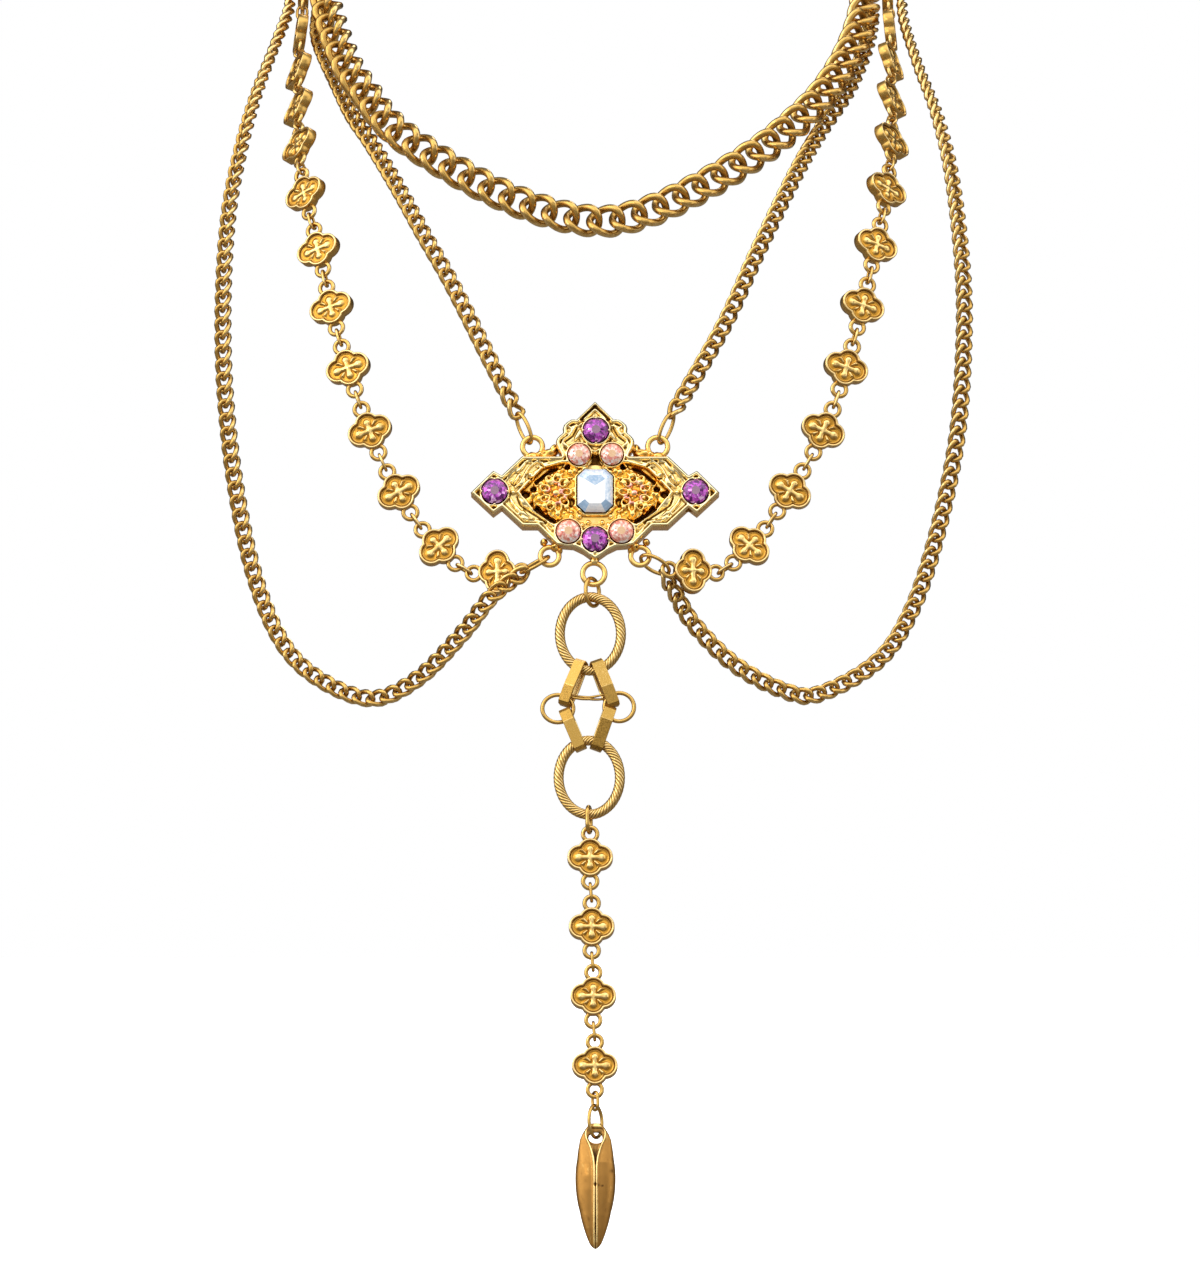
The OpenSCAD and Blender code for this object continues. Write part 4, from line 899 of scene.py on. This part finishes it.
def relief(x, y):
    """Height, warmth and blush of the plaque's front."""
    outer = edge_distance(x, y, OUTLINE)
    ax = np.abs(x)
    # The sunk window round each filigree cluster, and its frame
    window = edge_distance(ax, y, INNER_FRAME + [(4.2, -6.4), (4.2, 6.4)])
    z = np.where(window < -0.2, 3.5, FIELD - 0.15)
    warm = np.where(window < -0.1, 1.0, 0.0)
    warm = np.maximum(warm, np.clip(1.4 - np.hypot(x / 7.5, (y - 0.5) / 8.5), 0, 1) * (ax < 7.8))
    z = raised(z, line_distance(ax, y, INNER_FRAME) / 0.42, FIELD + 0.1, 0.6)
    # Rounded rim with a thin line inside it
    z = np.where(outer > -0.85, np.maximum(z, FIELD + 0.1 + swell(((outer + 0.42) / 0.46) ** 2, 0.9)), z)
    z = raised(z, np.abs(outer + 1.35) / 0.2, FIELD, 0.22)
    for cx, cy, half, wide, turn in LEAF_BLADES:
        u, v = turned(ax, y, cx, cy, math.radians(turn))
        v = v - 0.25 * (u / half) ** 2
        q = (u / half) ** 2 + (v / wide) ** 2
        z = np.where((q > 1) & (q < 1.7) & (z < FIELD) & (z > FIELD - 0.3), z - 0.1, z)
        z = np.where(q < 1, np.maximum(z, FIELD + swell(q, 0.6) - 0.2 * (np.abs(v) < 0.07)), z)
    for points, half, rise in DRAWN_LINES:
        q = line_distance(ax, y, points) / half
        if rise > 0:
            z = raised(z, q, FIELD, rise)
        else:
            z = np.where(q < 1, np.minimum(z, FIELD - 0.1) + rise * np.clip(1.3 - q, 0, 1), z)
    # Filigree: discs, then small grains, petals and nuggets over them
    for cx, cy, r in CLUSTER:
        z = raised(z, np.hypot(ax - cx, y - cy) / r, 3.9, 0.45, 4)
    cluster = z > 3.95
    for k in range(150):
        r = 0.43 * math.sqrt(k)
        cx, cy = 9.0 + r * math.cos(2.4 * k), -0.3 + 1.25 * r * math.sin(2.4 * k)
        q = np.hypot(ax - cx, y - cy) / (0.34 + 0.16 * math.sin(5.1 * k))
        z = raised(z, q, 4.15 + 0.4 * math.sin(3.7 * k), 0.5, where=cluster & (window < -0.4))
    for k in range(9):
        a = TAU * k / 9 + 0.3
        u, v = turned(ax, y, 8.9 + 2.5 * math.cos(a), -0.3 + 3.4 * math.sin(a), a)
        ring = np.abs(np.sqrt((u / 1.35) ** 2 + (v / 0.95) ** 2) - 0.8) / 0.24
        z = raised(z, ring, 4.5, 0.55, where=window < -0.3)
    for cx, cy, r in NUGGETS:
        z = raised(z, np.hypot(ax - cx, y - cy) / (0.85 * r), 4.45, 0.85 * r)
    for cx, cy, r in BEADS:
        z = raised(z, np.hypot(ax - cx, y - cy) / r, FIELD + 0.1, r * 0.9)
    # Scroll curls on the shoulders
    z = raised(z, np.abs(np.hypot(ax - 6.1, y - 14.3) - 0.8) / 0.26, FIELD + 0.1, 0.5, where=outer < -0.2)
    # Seats: a bezel round each stone and a pit in it, with four prongs on the purple ones
    for name, (cx, cy, wide) in STONES.items():
        r = wide / 2
        d = np.hypot(x - cx, y - cy)
        bezel = 4.3 + swell(((d - r - 0.36) / 0.32) ** 2, 0.75)
        z = np.where(d < r + 0.65, np.maximum(np.where(d < r + 0.6, 4.3, z), bezel), z)
        z = np.where(d < r + 0.08, 3.2, z)
        prongs = 4 if name.startswith("purple") else 0
        for prong in range(prongs):
            a = TAU * prong / prongs
            q = np.hypot(x - cx - (r + 0.1) * math.cos(a), y - cy - (r + 0.1) * math.sin(a)) / 0.42
            z = raised(z, q, 4.9, 0.55)
    stone = edge_distance(x, y, octagon(*CRYSTAL))
    bezel = 4.4 + swell(((stone - 0.4) / 0.34) ** 2, 0.55)
    z = np.where(stone < 0.75, np.maximum(np.where(stone < 0.7, 4.4, z), bezel), z)
    for cy in (4.35, -4.35):
        z = raised(z, np.hypot(ax - 3.35, y - cy) / 0.62, 4.9, 0.5)
    z = np.where(stone < 0.08, 3.3, z)
    pit = pit_distance(x, y)
    z = np.where(pit < 0.06, 2.2 - 0.35 * np.clip(-pit, 0, 1), z)
    # The outer edge is eased down to the wall
    z = np.where(outer > -0.2, z - 0.35 * (np.clip(outer + 0.2, 0, 0.2) / 0.2) ** 2, z)
    blush = (window < -0.5) & (z > 4.6) & (np.hypot((ax - 8.9) / 2.6, (y + 0.4) / 2.9) < 1)
    blush = blush * np.clip(0.3 + 0.8 * np.sin(2.3 * x + 1.7 * y) + 0.6 * np.sin(2.9 * y - 1.9 * x), 0, 0.9)
    return z, warm, blush


def softened(grid, times):
    """Each place takes the mean of its neighbours and itself."""
    for _ in range(times):
        wide = np.pad(grid, 1, mode="edge")
        grid = (4 * wide[1:-1, 1:-1] + wide[:-2, 1:-1] + wide[2:, 1:-1] + wide[1:-1, :-2] + wide[1:-1, 2:]) / 8
    return grid


def outward(x, y, step):
    """The way square to the outline and away from the plaque."""
    return [(edge_distance(x + dx, y + dy, OUTLINE) - edge_distance(x - dx, y - dy, OUTLINE)) / (2 * step)
            for dx, dy in ((step, 0), (0, step))]


def shifted_in(verts, by):
    """Moves wall points inwards, square to the outline."""
    spots = np.array([v.co[:2] for v in verts])
    for v, dx, dy in zip(verts, *outward(spots[:, 0], spots[:, 1], 0.05)):
        v.co.x -= by * dx
        v.co.y -= by * dy


def cup(cx, cy, size):
    """A cup behind a stone."""
    bm = bmesh.new()
    bmesh.ops.create_cone(bm, cap_ends=True, segments=40, radius1=size / 2 + 0.3, radius2=size / 2 + 0.55, depth=2.2)
    bmesh.ops.translate(bm, vec=(cx, cy, 1.5), verts=bm.verts)
    edges = [e for e in bm.edges if e.calc_face_angle(0) > 1.0]
    bmesh.ops.bevel(bm, geom=edges, offset=0.2, offset_type="OFFSET", segments=2, profile=0.5, affect="EDGES",
                    material=-1)
    tinted(bm, 0.55)
    return bm


def knob(cx, cy, long, high):
    """A rough lump; its place sets its form."""
    bm = bmesh.new()
    tone, warmth = layers_of(bm)
    bmesh.ops.create_icosphere(bm, subdivisions=4, radius=1)
    for v in bm.verts:
        x, y, z = v.co
        lump = math.sin(4.3 * x + 2.1 * z + cx) * math.sin(3.7 * y - 1.9 * x) * math.cos(3.1 * z + cy)
        v.co = v.co * (1 + 0.13 * lump)
        v.co = Vector((long * v.co.x, high * v.co.y, 1.5 * v.co.z))
        v[tone] = 0.66 + 0.7 * lump
        v[warmth] = 0.75
    return bm


def plaque():
    wide, high, cell = 57.0, 38.0, 0.13
    nx, ny = math.ceil(wide / cell), math.ceil(high / cell)
    size = Matrix.Diagonal((nx * cell, ny * cell, 1, 1))
    bm = bmesh.new()
    tone, warmth = layers_of(bm)
    blush_layer = bm.verts.layers.float.new("blush")
    bmesh.ops.create_grid(bm, x_segments=nx, y_segments=ny, size=0.5)
    bmesh.ops.transform(bm, matrix=Matrix.Translation((0, 2.5, 0)) @ size, verts=bm.verts)
    spots = np.array([v.co[:2] for v in bm.verts])
    x, y = spots[:, 0], spots[:, 1]
    # Each point takes the mean of four samples round it
    samples = [relief(x + dx * cell / 4, y + dy * cell / 4) for dy in (-1, 1) for dx in (-1, 1)]
    z, warm, blush = [sum(parts) / 4 for parts in zip(*samples)]
    order = np.lexsort((x, np.round(y / cell)))
    grid = z[order].reshape(ny + 1, nx + 1)
    smooth = softened(grid, 3)
    # Tone by how far the front stands above or below its surroundings, near and wide
    hollow = 0.65 * (grid - softened(grid, 14)) + 0.35 * (grid - softened(grid, 60))
    tones = np.empty_like(z)
    shades = np.clip(0.84 + np.where(hollow < 0, 2.2, 0.9) * hollow, 0.0, 1.0)
    # Painted shade: points sunk below 2.9, in the deep pits, are painted near black.
    tones[order] = np.where(smooth < 2.9, 0.06, shades).ravel()
    heights = np.empty_like(z)
    heights[order] = smooth.ravel()
    d = edge_distance(x, y, OUTLINE)
    gx, gy = outward(x, y, 0.04)
    verts = bm.verts[:]
    for k, v in enumerate(verts):
        v.co.z = heights[k]
        v[tone] = tones[k]
        v[warmth] = warm[k]
        v[blush_layer] = blush[k]
    # The grid is cut along the outline, and its last points are moved onto it
    limit, edge_height = 0.45 * cell, 4.45
    kept = [k for k in range(len(verts)) if d[k] <= limit]
    bmesh.ops.delete(bm, geom=[verts[k] for k in range(len(verts)) if d[k] > limit], context="VERTS")
    loose = {k for k in kept if not verts[k].link_faces}
    bmesh.ops.delete(bm, geom=[verts[k] for k in loose], context="VERTS")
    for k in kept:
        v = verts[k]
        if k not in loose and v.is_boundary:
            v.co.x -= d[k] * gx[k]
            v.co.y -= d[k] * gy[k]
            v.co.z = edge_height
    edges = [e for e in bm.edges if e.is_boundary]
    for height, inwards, shade in WALL_ROWS:
        grown = bmesh.ops.extrude_edge_only(bm, edges=edges)["geom"]
        edges = edges_in(grown)
        if inwards:
            shifted_in(verts_in(grown), inwards)
        for v in verts_in(grown):
            v.co.z = height
            v[tone] = shade
            v[warmth] = 0.75
    bmesh.ops.triangle_fill(bm, edges=edges, use_beauty=True, use_dissolve=False)
    bmesh.ops.recalc_face_normals(bm, faces=bm.faces)
    for place in list(STONES.values()) + [(0, 2.4, 7.6), (0, -2.4, 7.6)]:
        joined(bm, cup(*place))
    # Eyes for the chains, soldered on
    for cx, cy, mean in EYES:
        eye = wire_loop(40, 14, oval_shape(2 * mean + 1.2, 2 * mean + 1.2, 1.2))
        eye_tone, eye_warmth = layers_of(eye)
        for v in eye.verts:
            v[eye_tone] -= 0.08
            v[eye_warmth] = 0.45
        joined(bm, eye, Matrix.Translation((cx, cy, MID)))
    for side in (-1, 1):
        for cx, cy, long, high, turn in KNOBS:
            place = Matrix.Translation((side * cx, cy, MID)) @ Matrix.Rotation(math.radians(side * turn), 4, "Z")
            joined(bm, knob(cx, cy, long, high), place)
    stem = bmesh.new()
    bmesh.ops.create_cone(stem, cap_ends=True, segments=24, radius1=1.1, radius2=0.8, depth=1.4)
    tinted(stem, 0.6)
    joined(bm, stem, Matrix.Translation((-0.15, -15.8, MID)) @ Matrix.Rotation(math.pi / 2, 4, "X"))
    return bm


finished("plaque_relief", plaque(), pale_gold, "plaque", place=FRONT)


# Stones: a brilliant cut for the round ones, an emerald cut for the crystal.
# From the table down: corners, radius, height and turn in corners
BRILLIANT_ROWS = [(12, 0.36, 0.42, 0.5), (24, 0.62, 0.35, 0.25), (24, 0.86, 0.2, 0.75), (24, 1.0, 0.05, 0.25),
                  (24, 1.0, -0.05, 0.25), (12, 0.5, -0.4, 0.5), (8, 0.08, -0.64, 0.5)]
# Up the crystal: share of its width, and height
CRYSTAL_ROWS = [(0.35, 3.7), (0.75, 4.4), (1.0, 5.1), (1.0, 5.35), (0.88, 5.9), (0.74, 6.35), (0.58, 6.7)]


def brilliant(seed):
    bm = bmesh.new()
    tone, warmth = layers_of(bm)
    loops = []
    for count, r, z, turn in BRILLIANT_ROWS:
        made = bmesh.ops.create_circle(bm, segments=count, radius=1)["verts"]
        for k, v in enumerate(made):
            a = TAU * (k + turn) / count
            v.co = (r * math.cos(a), r * math.sin(a), z)
        loops.append(made)
    for a, b in zip(loops, loops[1:]):
        edges = [e for e in bm.edges if all(v in a for v in e.verts) or all(v in b for v in e.verts)]
        bmesh.ops.bridge_loops(bm, edges=edges)
    for ends in (loops[0], loops[-1]):
        bmesh.ops.contextual_create(bm, geom=[e for e in bm.edges if all(v in ends for v in e.verts)])
    bmesh.ops.recalc_face_normals(bm, faces=bm.faces)
    bmesh.ops.split_edges(bm, edges=bm.edges)
    # Painted light: each facet gets a random painted brightness, lighter towards the bottom of the stone, with a dark
    # painted shadow round the girdle under the bezel and a plain painted centre on the table.
    for k, face in enumerate(bm.faces):
        middle = face.calc_center_median()
        table = face.normal.z > 0.98
        spark = math.sin(12.9898 * k + 4.1 * seed) * 43758.5453
        light = spark - math.floor(spark)
        far = math.hypot(middle.x, middle.y)
        light = light * (0.75 - 0.35 * middle.y) if far < 0.93 else 0.12 * light
        for v in face.verts:
            v[tone] = 0.5 if table else min(1.0, light)
            v[warmth] = 0.85 if table else 0.0
    return bm


for number, (name, (cx, cy, wide)) in enumerate(STONES.items()):
    glass = purple_glass if name.startswith("purple") else pink_glass
    place = at_front(cx, cy, 5.0) @ Matrix.Scale(wide / 2, 4)
    finished(name.replace("_stone", "_brilliant"), brilliant(number), glass, name, place=place, flat=True)


def emerald_cut():
    w, h, cut = CRYSTAL
    rings = [[(x, y, z) for x, y in octagon(w * q, h - w * (1 - q), cut * q)] for q, z in CRYSTAL_ROWS]
    bm = lofted(rings, [(0.5, 0.0)] * len(rings))
    tone, _ = layers_of(bm)
    table = [f for f in bm.faces if f.normal.z > 0.98 and f.calc_center_median().z > 6]
    for v in bmesh.ops.poke(bm, faces=table)["verts"]:
        v.co.y += 0.9
    bmesh.ops.split_edges(bm, edges=bm.edges)
    # The facets up the crystal and round it, since the mesh may number them in another order each run
    column = bm.verts.layers.int["column"]
    facets = sorted(bm.faces, key=lambda f: (round(f.calc_center_median().z, 3), sorted(v[column] for v in f.verts)))
    # Painted light: the table is painted bright with a greyer painted reflection in its top triangle, the lower corner
    # facets are painted deep blue as glints, the side facets mid, the upper facets darker and the lower ones lighter.
    for k, face in enumerate(facets):
        middle = face.calc_center_median()
        table = face.normal.z > 0.98
        if table:
            light = 0.22 if middle.y > 1.6 else 1.0
        elif middle.y < -2.5 and abs(middle.x) > 1.5 and abs(face.normal.x) > 0.1:
            light = 0.1
        elif abs(face.normal.x) > abs(face.normal.y):
            light = 0.62 + 0.2 * math.sin(2.3 * k)
        else:
            light = 0.4 + 0.12 * math.sin(1.7 * k) if middle.y > 0 else 0.85
        for v in face.verts:
            v[tone] = light
    return bm


finished("emerald_cut_crystal", emerald_cut(), clear_crystal, "centre_crystal", place=FRONT, flat=True)


# The pod: a folded leaf with a rolled top, an open throat and a double ridge down to its tip
POD_X, POD_HOLE_Y, POD_LONG = 0.1, -147.85, 28.2
POD_HALF_WIDE, POD_HALF_THICK, POD_HOLE_DOWN = 4.5, 2.3, 3.4
# Down the pod as a share of its length: shares of its width and thickness
POD_ROWS = [
    [0.00, 0.22, 0.26], [0.02, 0.34, 0.34], [0.07, 0.47, 0.40], [0.14, 0.66, 0.46], [0.22, 0.83, 0.66],
    [0.32, 0.95, 0.94], [0.43, 1.00, 1.00], [0.54, 0.97, 0.97], [0.64, 0.88, 0.88], [0.74, 0.72, 0.74],
    [0.84, 0.49, 0.54], [0.92, 0.27, 0.34], [0.975, 0.12, 0.20], [1.00, 0.04, 0.10]]
# Down the pod: half the gap between the crests of its two lips, and how much it is wider than the CAD
LIP_ROWS = np.array([(0, 1.5), (1.1, 2.2), (2.6, 2.2), (3.6, 1.98), (4.6, 1.5), (6.0, 1.0), (7.9, 0.52), (10.1, 0.29),
                     (12, 0.27), (17, 0.29), (24, 0.33), (28.2, 0.25)])
SHOULDER_ROWS = np.array([(0, 0.1), (1.2, 0.45), (2.4, 0.65), (3.6, 0.65), (5, 0.35), (6.5, 0.15), (8, 0),
                          (20, 0), (23, 0.3), (25.5, 0.55), (27, 0.6), (27.8, 0.4), (28.2, 0)])
# Dark marks on the pod: sideways, down, size, strength
MARKS = [(3.6, 10.9, 0.55, 0.5), (-2.05, 13.2, 0.6, 0.3), (0.75, 14.3, 0.3, 0.6), (1.6, 14.4, 0.22, 0.5),
         (0.55, 17.9, 0.22, 0.4), (2.5, 13.6, 0.6, 0.2), (-2.4, 17.4, 0.8, 0.25), (-1.9, 8.8, 0.7, 0.18),
         (2.6, 8.2, 0.8, 0.2), (-3.0, 11.5, 0.5, 0.25), (2.2, 20.0, 0.7, 0.2), (-1.4, 21.8, 0.6, 0.22),
         (0.05, 27.2, 0.22, 0.9)]


def pod_section(down, half_wide, half_thick):
    """One level of the pod as (x, z, tone, warmth), round from the right edge over the front."""
    lip = min(0.25, 0.3 * half_wide)
    crest = min(np.interp(down, LIP_ROWS[:, 0], LIP_ROWS[:, 1]), half_wide - 1.4 * lip)
    shown = max(0.0, min(1.0, (down - 0.9) / 0.7))
    edge = crest + lip
    inner = max(crest - lip, 0.02)
    places = [("side", edge + (half_wide - edge) * math.sin(math.pi / 2 * (1 - k / 11))) for k in range(12)]
    places += [("lip", crest + lip * k / 4) for k in (3, 2, 1, 0, -1, -2, -3)]
    places += [("brink", inner), ("wall", inner * 0.88), ("floor", inner * 0.6), ("floor", inner * 0.3)]
    half = []
    for zone, x in places:
        z = half_thick * math.sqrt(max(0.0, 1 - (x / half_wide) ** 2))
        shade, warmth = 0.6, 0.75
        if zone == "lip":
            bulge = dome(abs(x - crest), lip)
            z += 0.3 * bulge * min(1, z) * shown
            shade, warmth = 0.6 + 0.38 * bulge * shown, 0.75 - 0.5 * bulge * shown
        elif zone != "side":
            # Painted shade: the throat's walls and floor are painted darker than the outside, the floor more than the
            # walls, and more or less so in bands down its length.
            depth = shown * (0.06 if zone == "brink" else min(1.25, 2.6 * (crest - x) + 0.1))
            z -= min(depth, 0.55 * half_thick)
            wall = 0.2 if zone == "floor" else 0.45
            if down < 6:
                shade = 0.85 - shown * (0.85 - wall)
            else:
                shade = wall * (0.6 if down < 12 else 1.2 if down < 19 else 0.4)
            warmth = 0.7 - 0.5 * shown
        half.append((x, z, shade, warmth))
    face = half + [(0.0, *half[-1][1:])] + [(-x, z, t, w) for x, z, t, w in reversed(half)]
    back = [(-half_wide * math.cos(math.pi * k / 24), -half_thick * math.sin(math.pi * k / 24), 0.6, 0.75)
            for k in range(1, 24)]
    return face + back


def pod():
    table = np.array(POD_ROWS)
    top = POD_HOLE_Y + POD_HOLE_DOWN
    rows = 150
    rings, tones = [], []
    for i in range(rows + 1):
        share = i / rows
        down = share * POD_LONG
        # The outline is rounded by taking a mean over a short stretch
        near = np.clip(share + np.linspace(-0.04, 0.04, 9) * min(1, 12 * share, 12 * (1 - share)), 0, 1)
        half_wide = POD_HALF_WIDE * np.interp(near, table[:, 0], table[:, 1]).mean()
        half_wide += np.interp(down, SHOULDER_ROWS[:, 0], SHOULDER_ROWS[:, 1])
        half_thick = POD_HALF_THICK * np.interp(share, table[:, 0], table[:, 2])
        points, shades = [], []
        for x, z, shade, warmth in pod_section(down, half_wide, half_thick):
            if z > 0:
                brush = 0.06 + 0.08 * math.sin(9 * x + 1.3 * math.sin(0.7 * down)) * math.sin(0.9 * down + 3 * x)
                mark = sum(m * math.exp(-((x - mx) ** 2 + (down - my) ** 2 / 1.6) / (r * r)) for mx, my, r, m in MARKS)
                notch = math.exp(-((x + 0.05) ** 2 / 0.06 + (down - 14.2) ** 2 / 0.12))
                z -= 0.35 * notch
                shade = max(0.02, shade * (1 - 0.95 * notch) + (brush - mark) * (1 if shade < 0.8 else 0.3))
            points.append((POD_X + x, top - down, MID + z))
            shades.append((shade, warmth))
        rings.append(points)
        tones.append(shades)
    return lofted(rings, tones)


pod_piece = finished("pod_leaf", pod(), brown_gold, "pod", body="pendant", place=FRONT)
# The bore is round in front and, below the wire, closed by a step behind
bore_rings = []
for z, cx, cy, rx, ry in ((6, 0, 0, 1.55, 1.5), (-0.2, 0, 0, 1.55, 1.5), (-0.2, 0.15, 0.25, 1.7, 1.25),
                          (-6, 0.3, 0.3, 2.1, 1.4)):
    bore_rings.append([(cx + rx * math.cos(TAU * k / 48), cy + ry * math.sin(TAU * k / 48), z) for k in range(48)])
# Painted shade: the inside of the bore carries a near-black tone.
bore = lofted(bore_rings, [(0.04, 0.3)] * 4)
bmesh.ops.transform(bore, matrix=Matrix.Scale(MM, 4) @ at_front(POD_X, POD_HOLE_Y), verts=bore.verts)
bore_object = object_of("bore", bore)
cut = pod_piece.modifiers.new("bore", "BOOLEAN")
cut.object = bore_object
cut.solver = "EXACT"
bpy.context.view_layer.update()
bored = bpy.data.meshes.new_from_object(pod_piece.evaluated_get(bpy.context.evaluated_depsgraph_get()))
pod_piece.modifiers.clear()
pod_piece.data = bored
bpy.data.objects.remove(bore_object)


# The pod's ring: an oval turned towards the viewer
def pod_loop(u, w):
    a, b, r = 3.6, 2.7, 0.4
    line = Vector((a * math.cos(u), b * math.sin(u), 0))
    out = Vector((b * math.cos(u), a * math.sin(u), 0)).normalized()
    return line + r * (math.cos(w) * out + math.sin(w) * Vector((0, 0, 1))), 0.74


turn = Matrix.Rotation(math.radians(58), 4, "Y") @ Matrix.Rotation(math.pi / 2, 4, "Z")
finished("pod_hanging_ring", wire_loop(72, 14, pod_loop), antique_gold, "pod_ring",
         place=at_front(POD_X, POD_HOLE_Y + 3.9) @ turn)

# Plain wire pieces keep their own form and take the gold
for name in ("clasp", "gather_ring_left", "gather_ring_right", "drop_ring_upper", "drop_ring_lower", "drop_link_1",
             "drop_link_2", "drop_link_3", "drop_link_4"):
    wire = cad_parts[name]
    wire.data.materials.clear()
    wire.data.materials.append(plain_gold)


# Floor, lights, world and camera -----------------------------------------------------------------

bm = bmesh.new()
bmesh.ops.create_grid(bm, x_segments=8, y_segments=8, size=3)
bmesh.ops.translate(bm, vec=(0, 0, -0.345), verts=bm.verts)
floor = object_of("floor", bm)
material, tree, shader = new_material("pale_floor")
shader["Roughness"].default_value = 0.8
seen = tree.nodes.new("ShaderNodeLightPath").outputs["Is Camera Ray"]
tree.links.new(mixed(tree, seen, (0.22, 0.2, 0.18), (0.9, 0.9, 0.9)), shader["Base Color"])
tree.links.new(mixed(tree, seen, (0, 0, 0), (0.75, 0.75, 0.75)), shader["Emission Color"])
shader["Emission Strength"].default_value = 1.0
floor.data.materials.append(material)

# The world is a studio: a light from above and soft boxes at the left, the right and in front
world = bpy.data.worlds.new("studio")
bpy.context.scene.world = world
world.use_nodes = True
tree = world.node_tree
split = tree.nodes.new("ShaderNodeSeparateXYZ")
tree.links.new(tree.nodes.new("ShaderNodeTexCoord").outputs["Generated"], split.inputs[0])
wx, wy, wz = split.outputs
total = ranged(tree, wz, 0.35, 0.8, 0.0, 2.0)
for across, start, full, strength, low, high, least in (
        (wx, -0.5, -0.75, 2.2, -0.35, 0.25, 0.05), (wx, 0.65, 0.85, 1.3, -0.3, 0.3, 0.1),
        (wy, -0.7, -0.98, 1.05, -0.2, 0.25, 0.35)):
    softbox = math_node(tree, "MULTIPLY", ranged(tree, across, start, full, 0.0, strength),
                        ranged(tree, wz, low, high, least))
    total = math_node(tree, "ADD", total, softbox)
total = math_node(tree, "MULTIPLY", total, ranged(tree, wy, 0.25, -0.15, 0.12))
total = math_node(tree, "ADD", total, 0.05)
seen = tree.nodes.new("ShaderNodeLightPath").outputs["Is Camera Ray"]
tree.links.new(mixed(tree, seen, total, (1, 1, 1)), tree.nodes["Background"].inputs["Color"])

scene = bpy.context.scene
scene.view_settings.view_transform = "Standard"
for name, place, energy, size in (("key", (-0.9, -1.5, 0.7), 3.0, 0.35), ("fill", (1.3, -1.2, 0.2), 1.0, 0.8),
                                  ("rim", (0.3, 0.8, 0.9), 2.5, 0.5)):
    lamp = bpy.data.lights.new(name, "AREA")
    lamp.energy = energy
    lamp.size = size
    lamp.color = (1.0, 0.97, 0.92)
    light = bpy.data.objects.new(name, lamp)
    scene.collection.objects.link(light)
    light.location = place
    light.rotation_euler = (Vector((0, -0.12, -0.15)) - Vector(place)).to_track_quat("-Z", "Y").to_euler()

lens = bpy.data.cameras.new("camera")
lens.sensor_fit = "VERTICAL"
lens.sensor_height = 24
lens.lens = 202.5
lens.clip_end = 30
camera = bpy.data.objects.new("camera", lens)
scene.collection.objects.link(camera)
camera.location = (0.0011, -2.55, -0.175)
camera.rotation_euler = (math.pi / 2, 0, 0)
scene.camera = camera
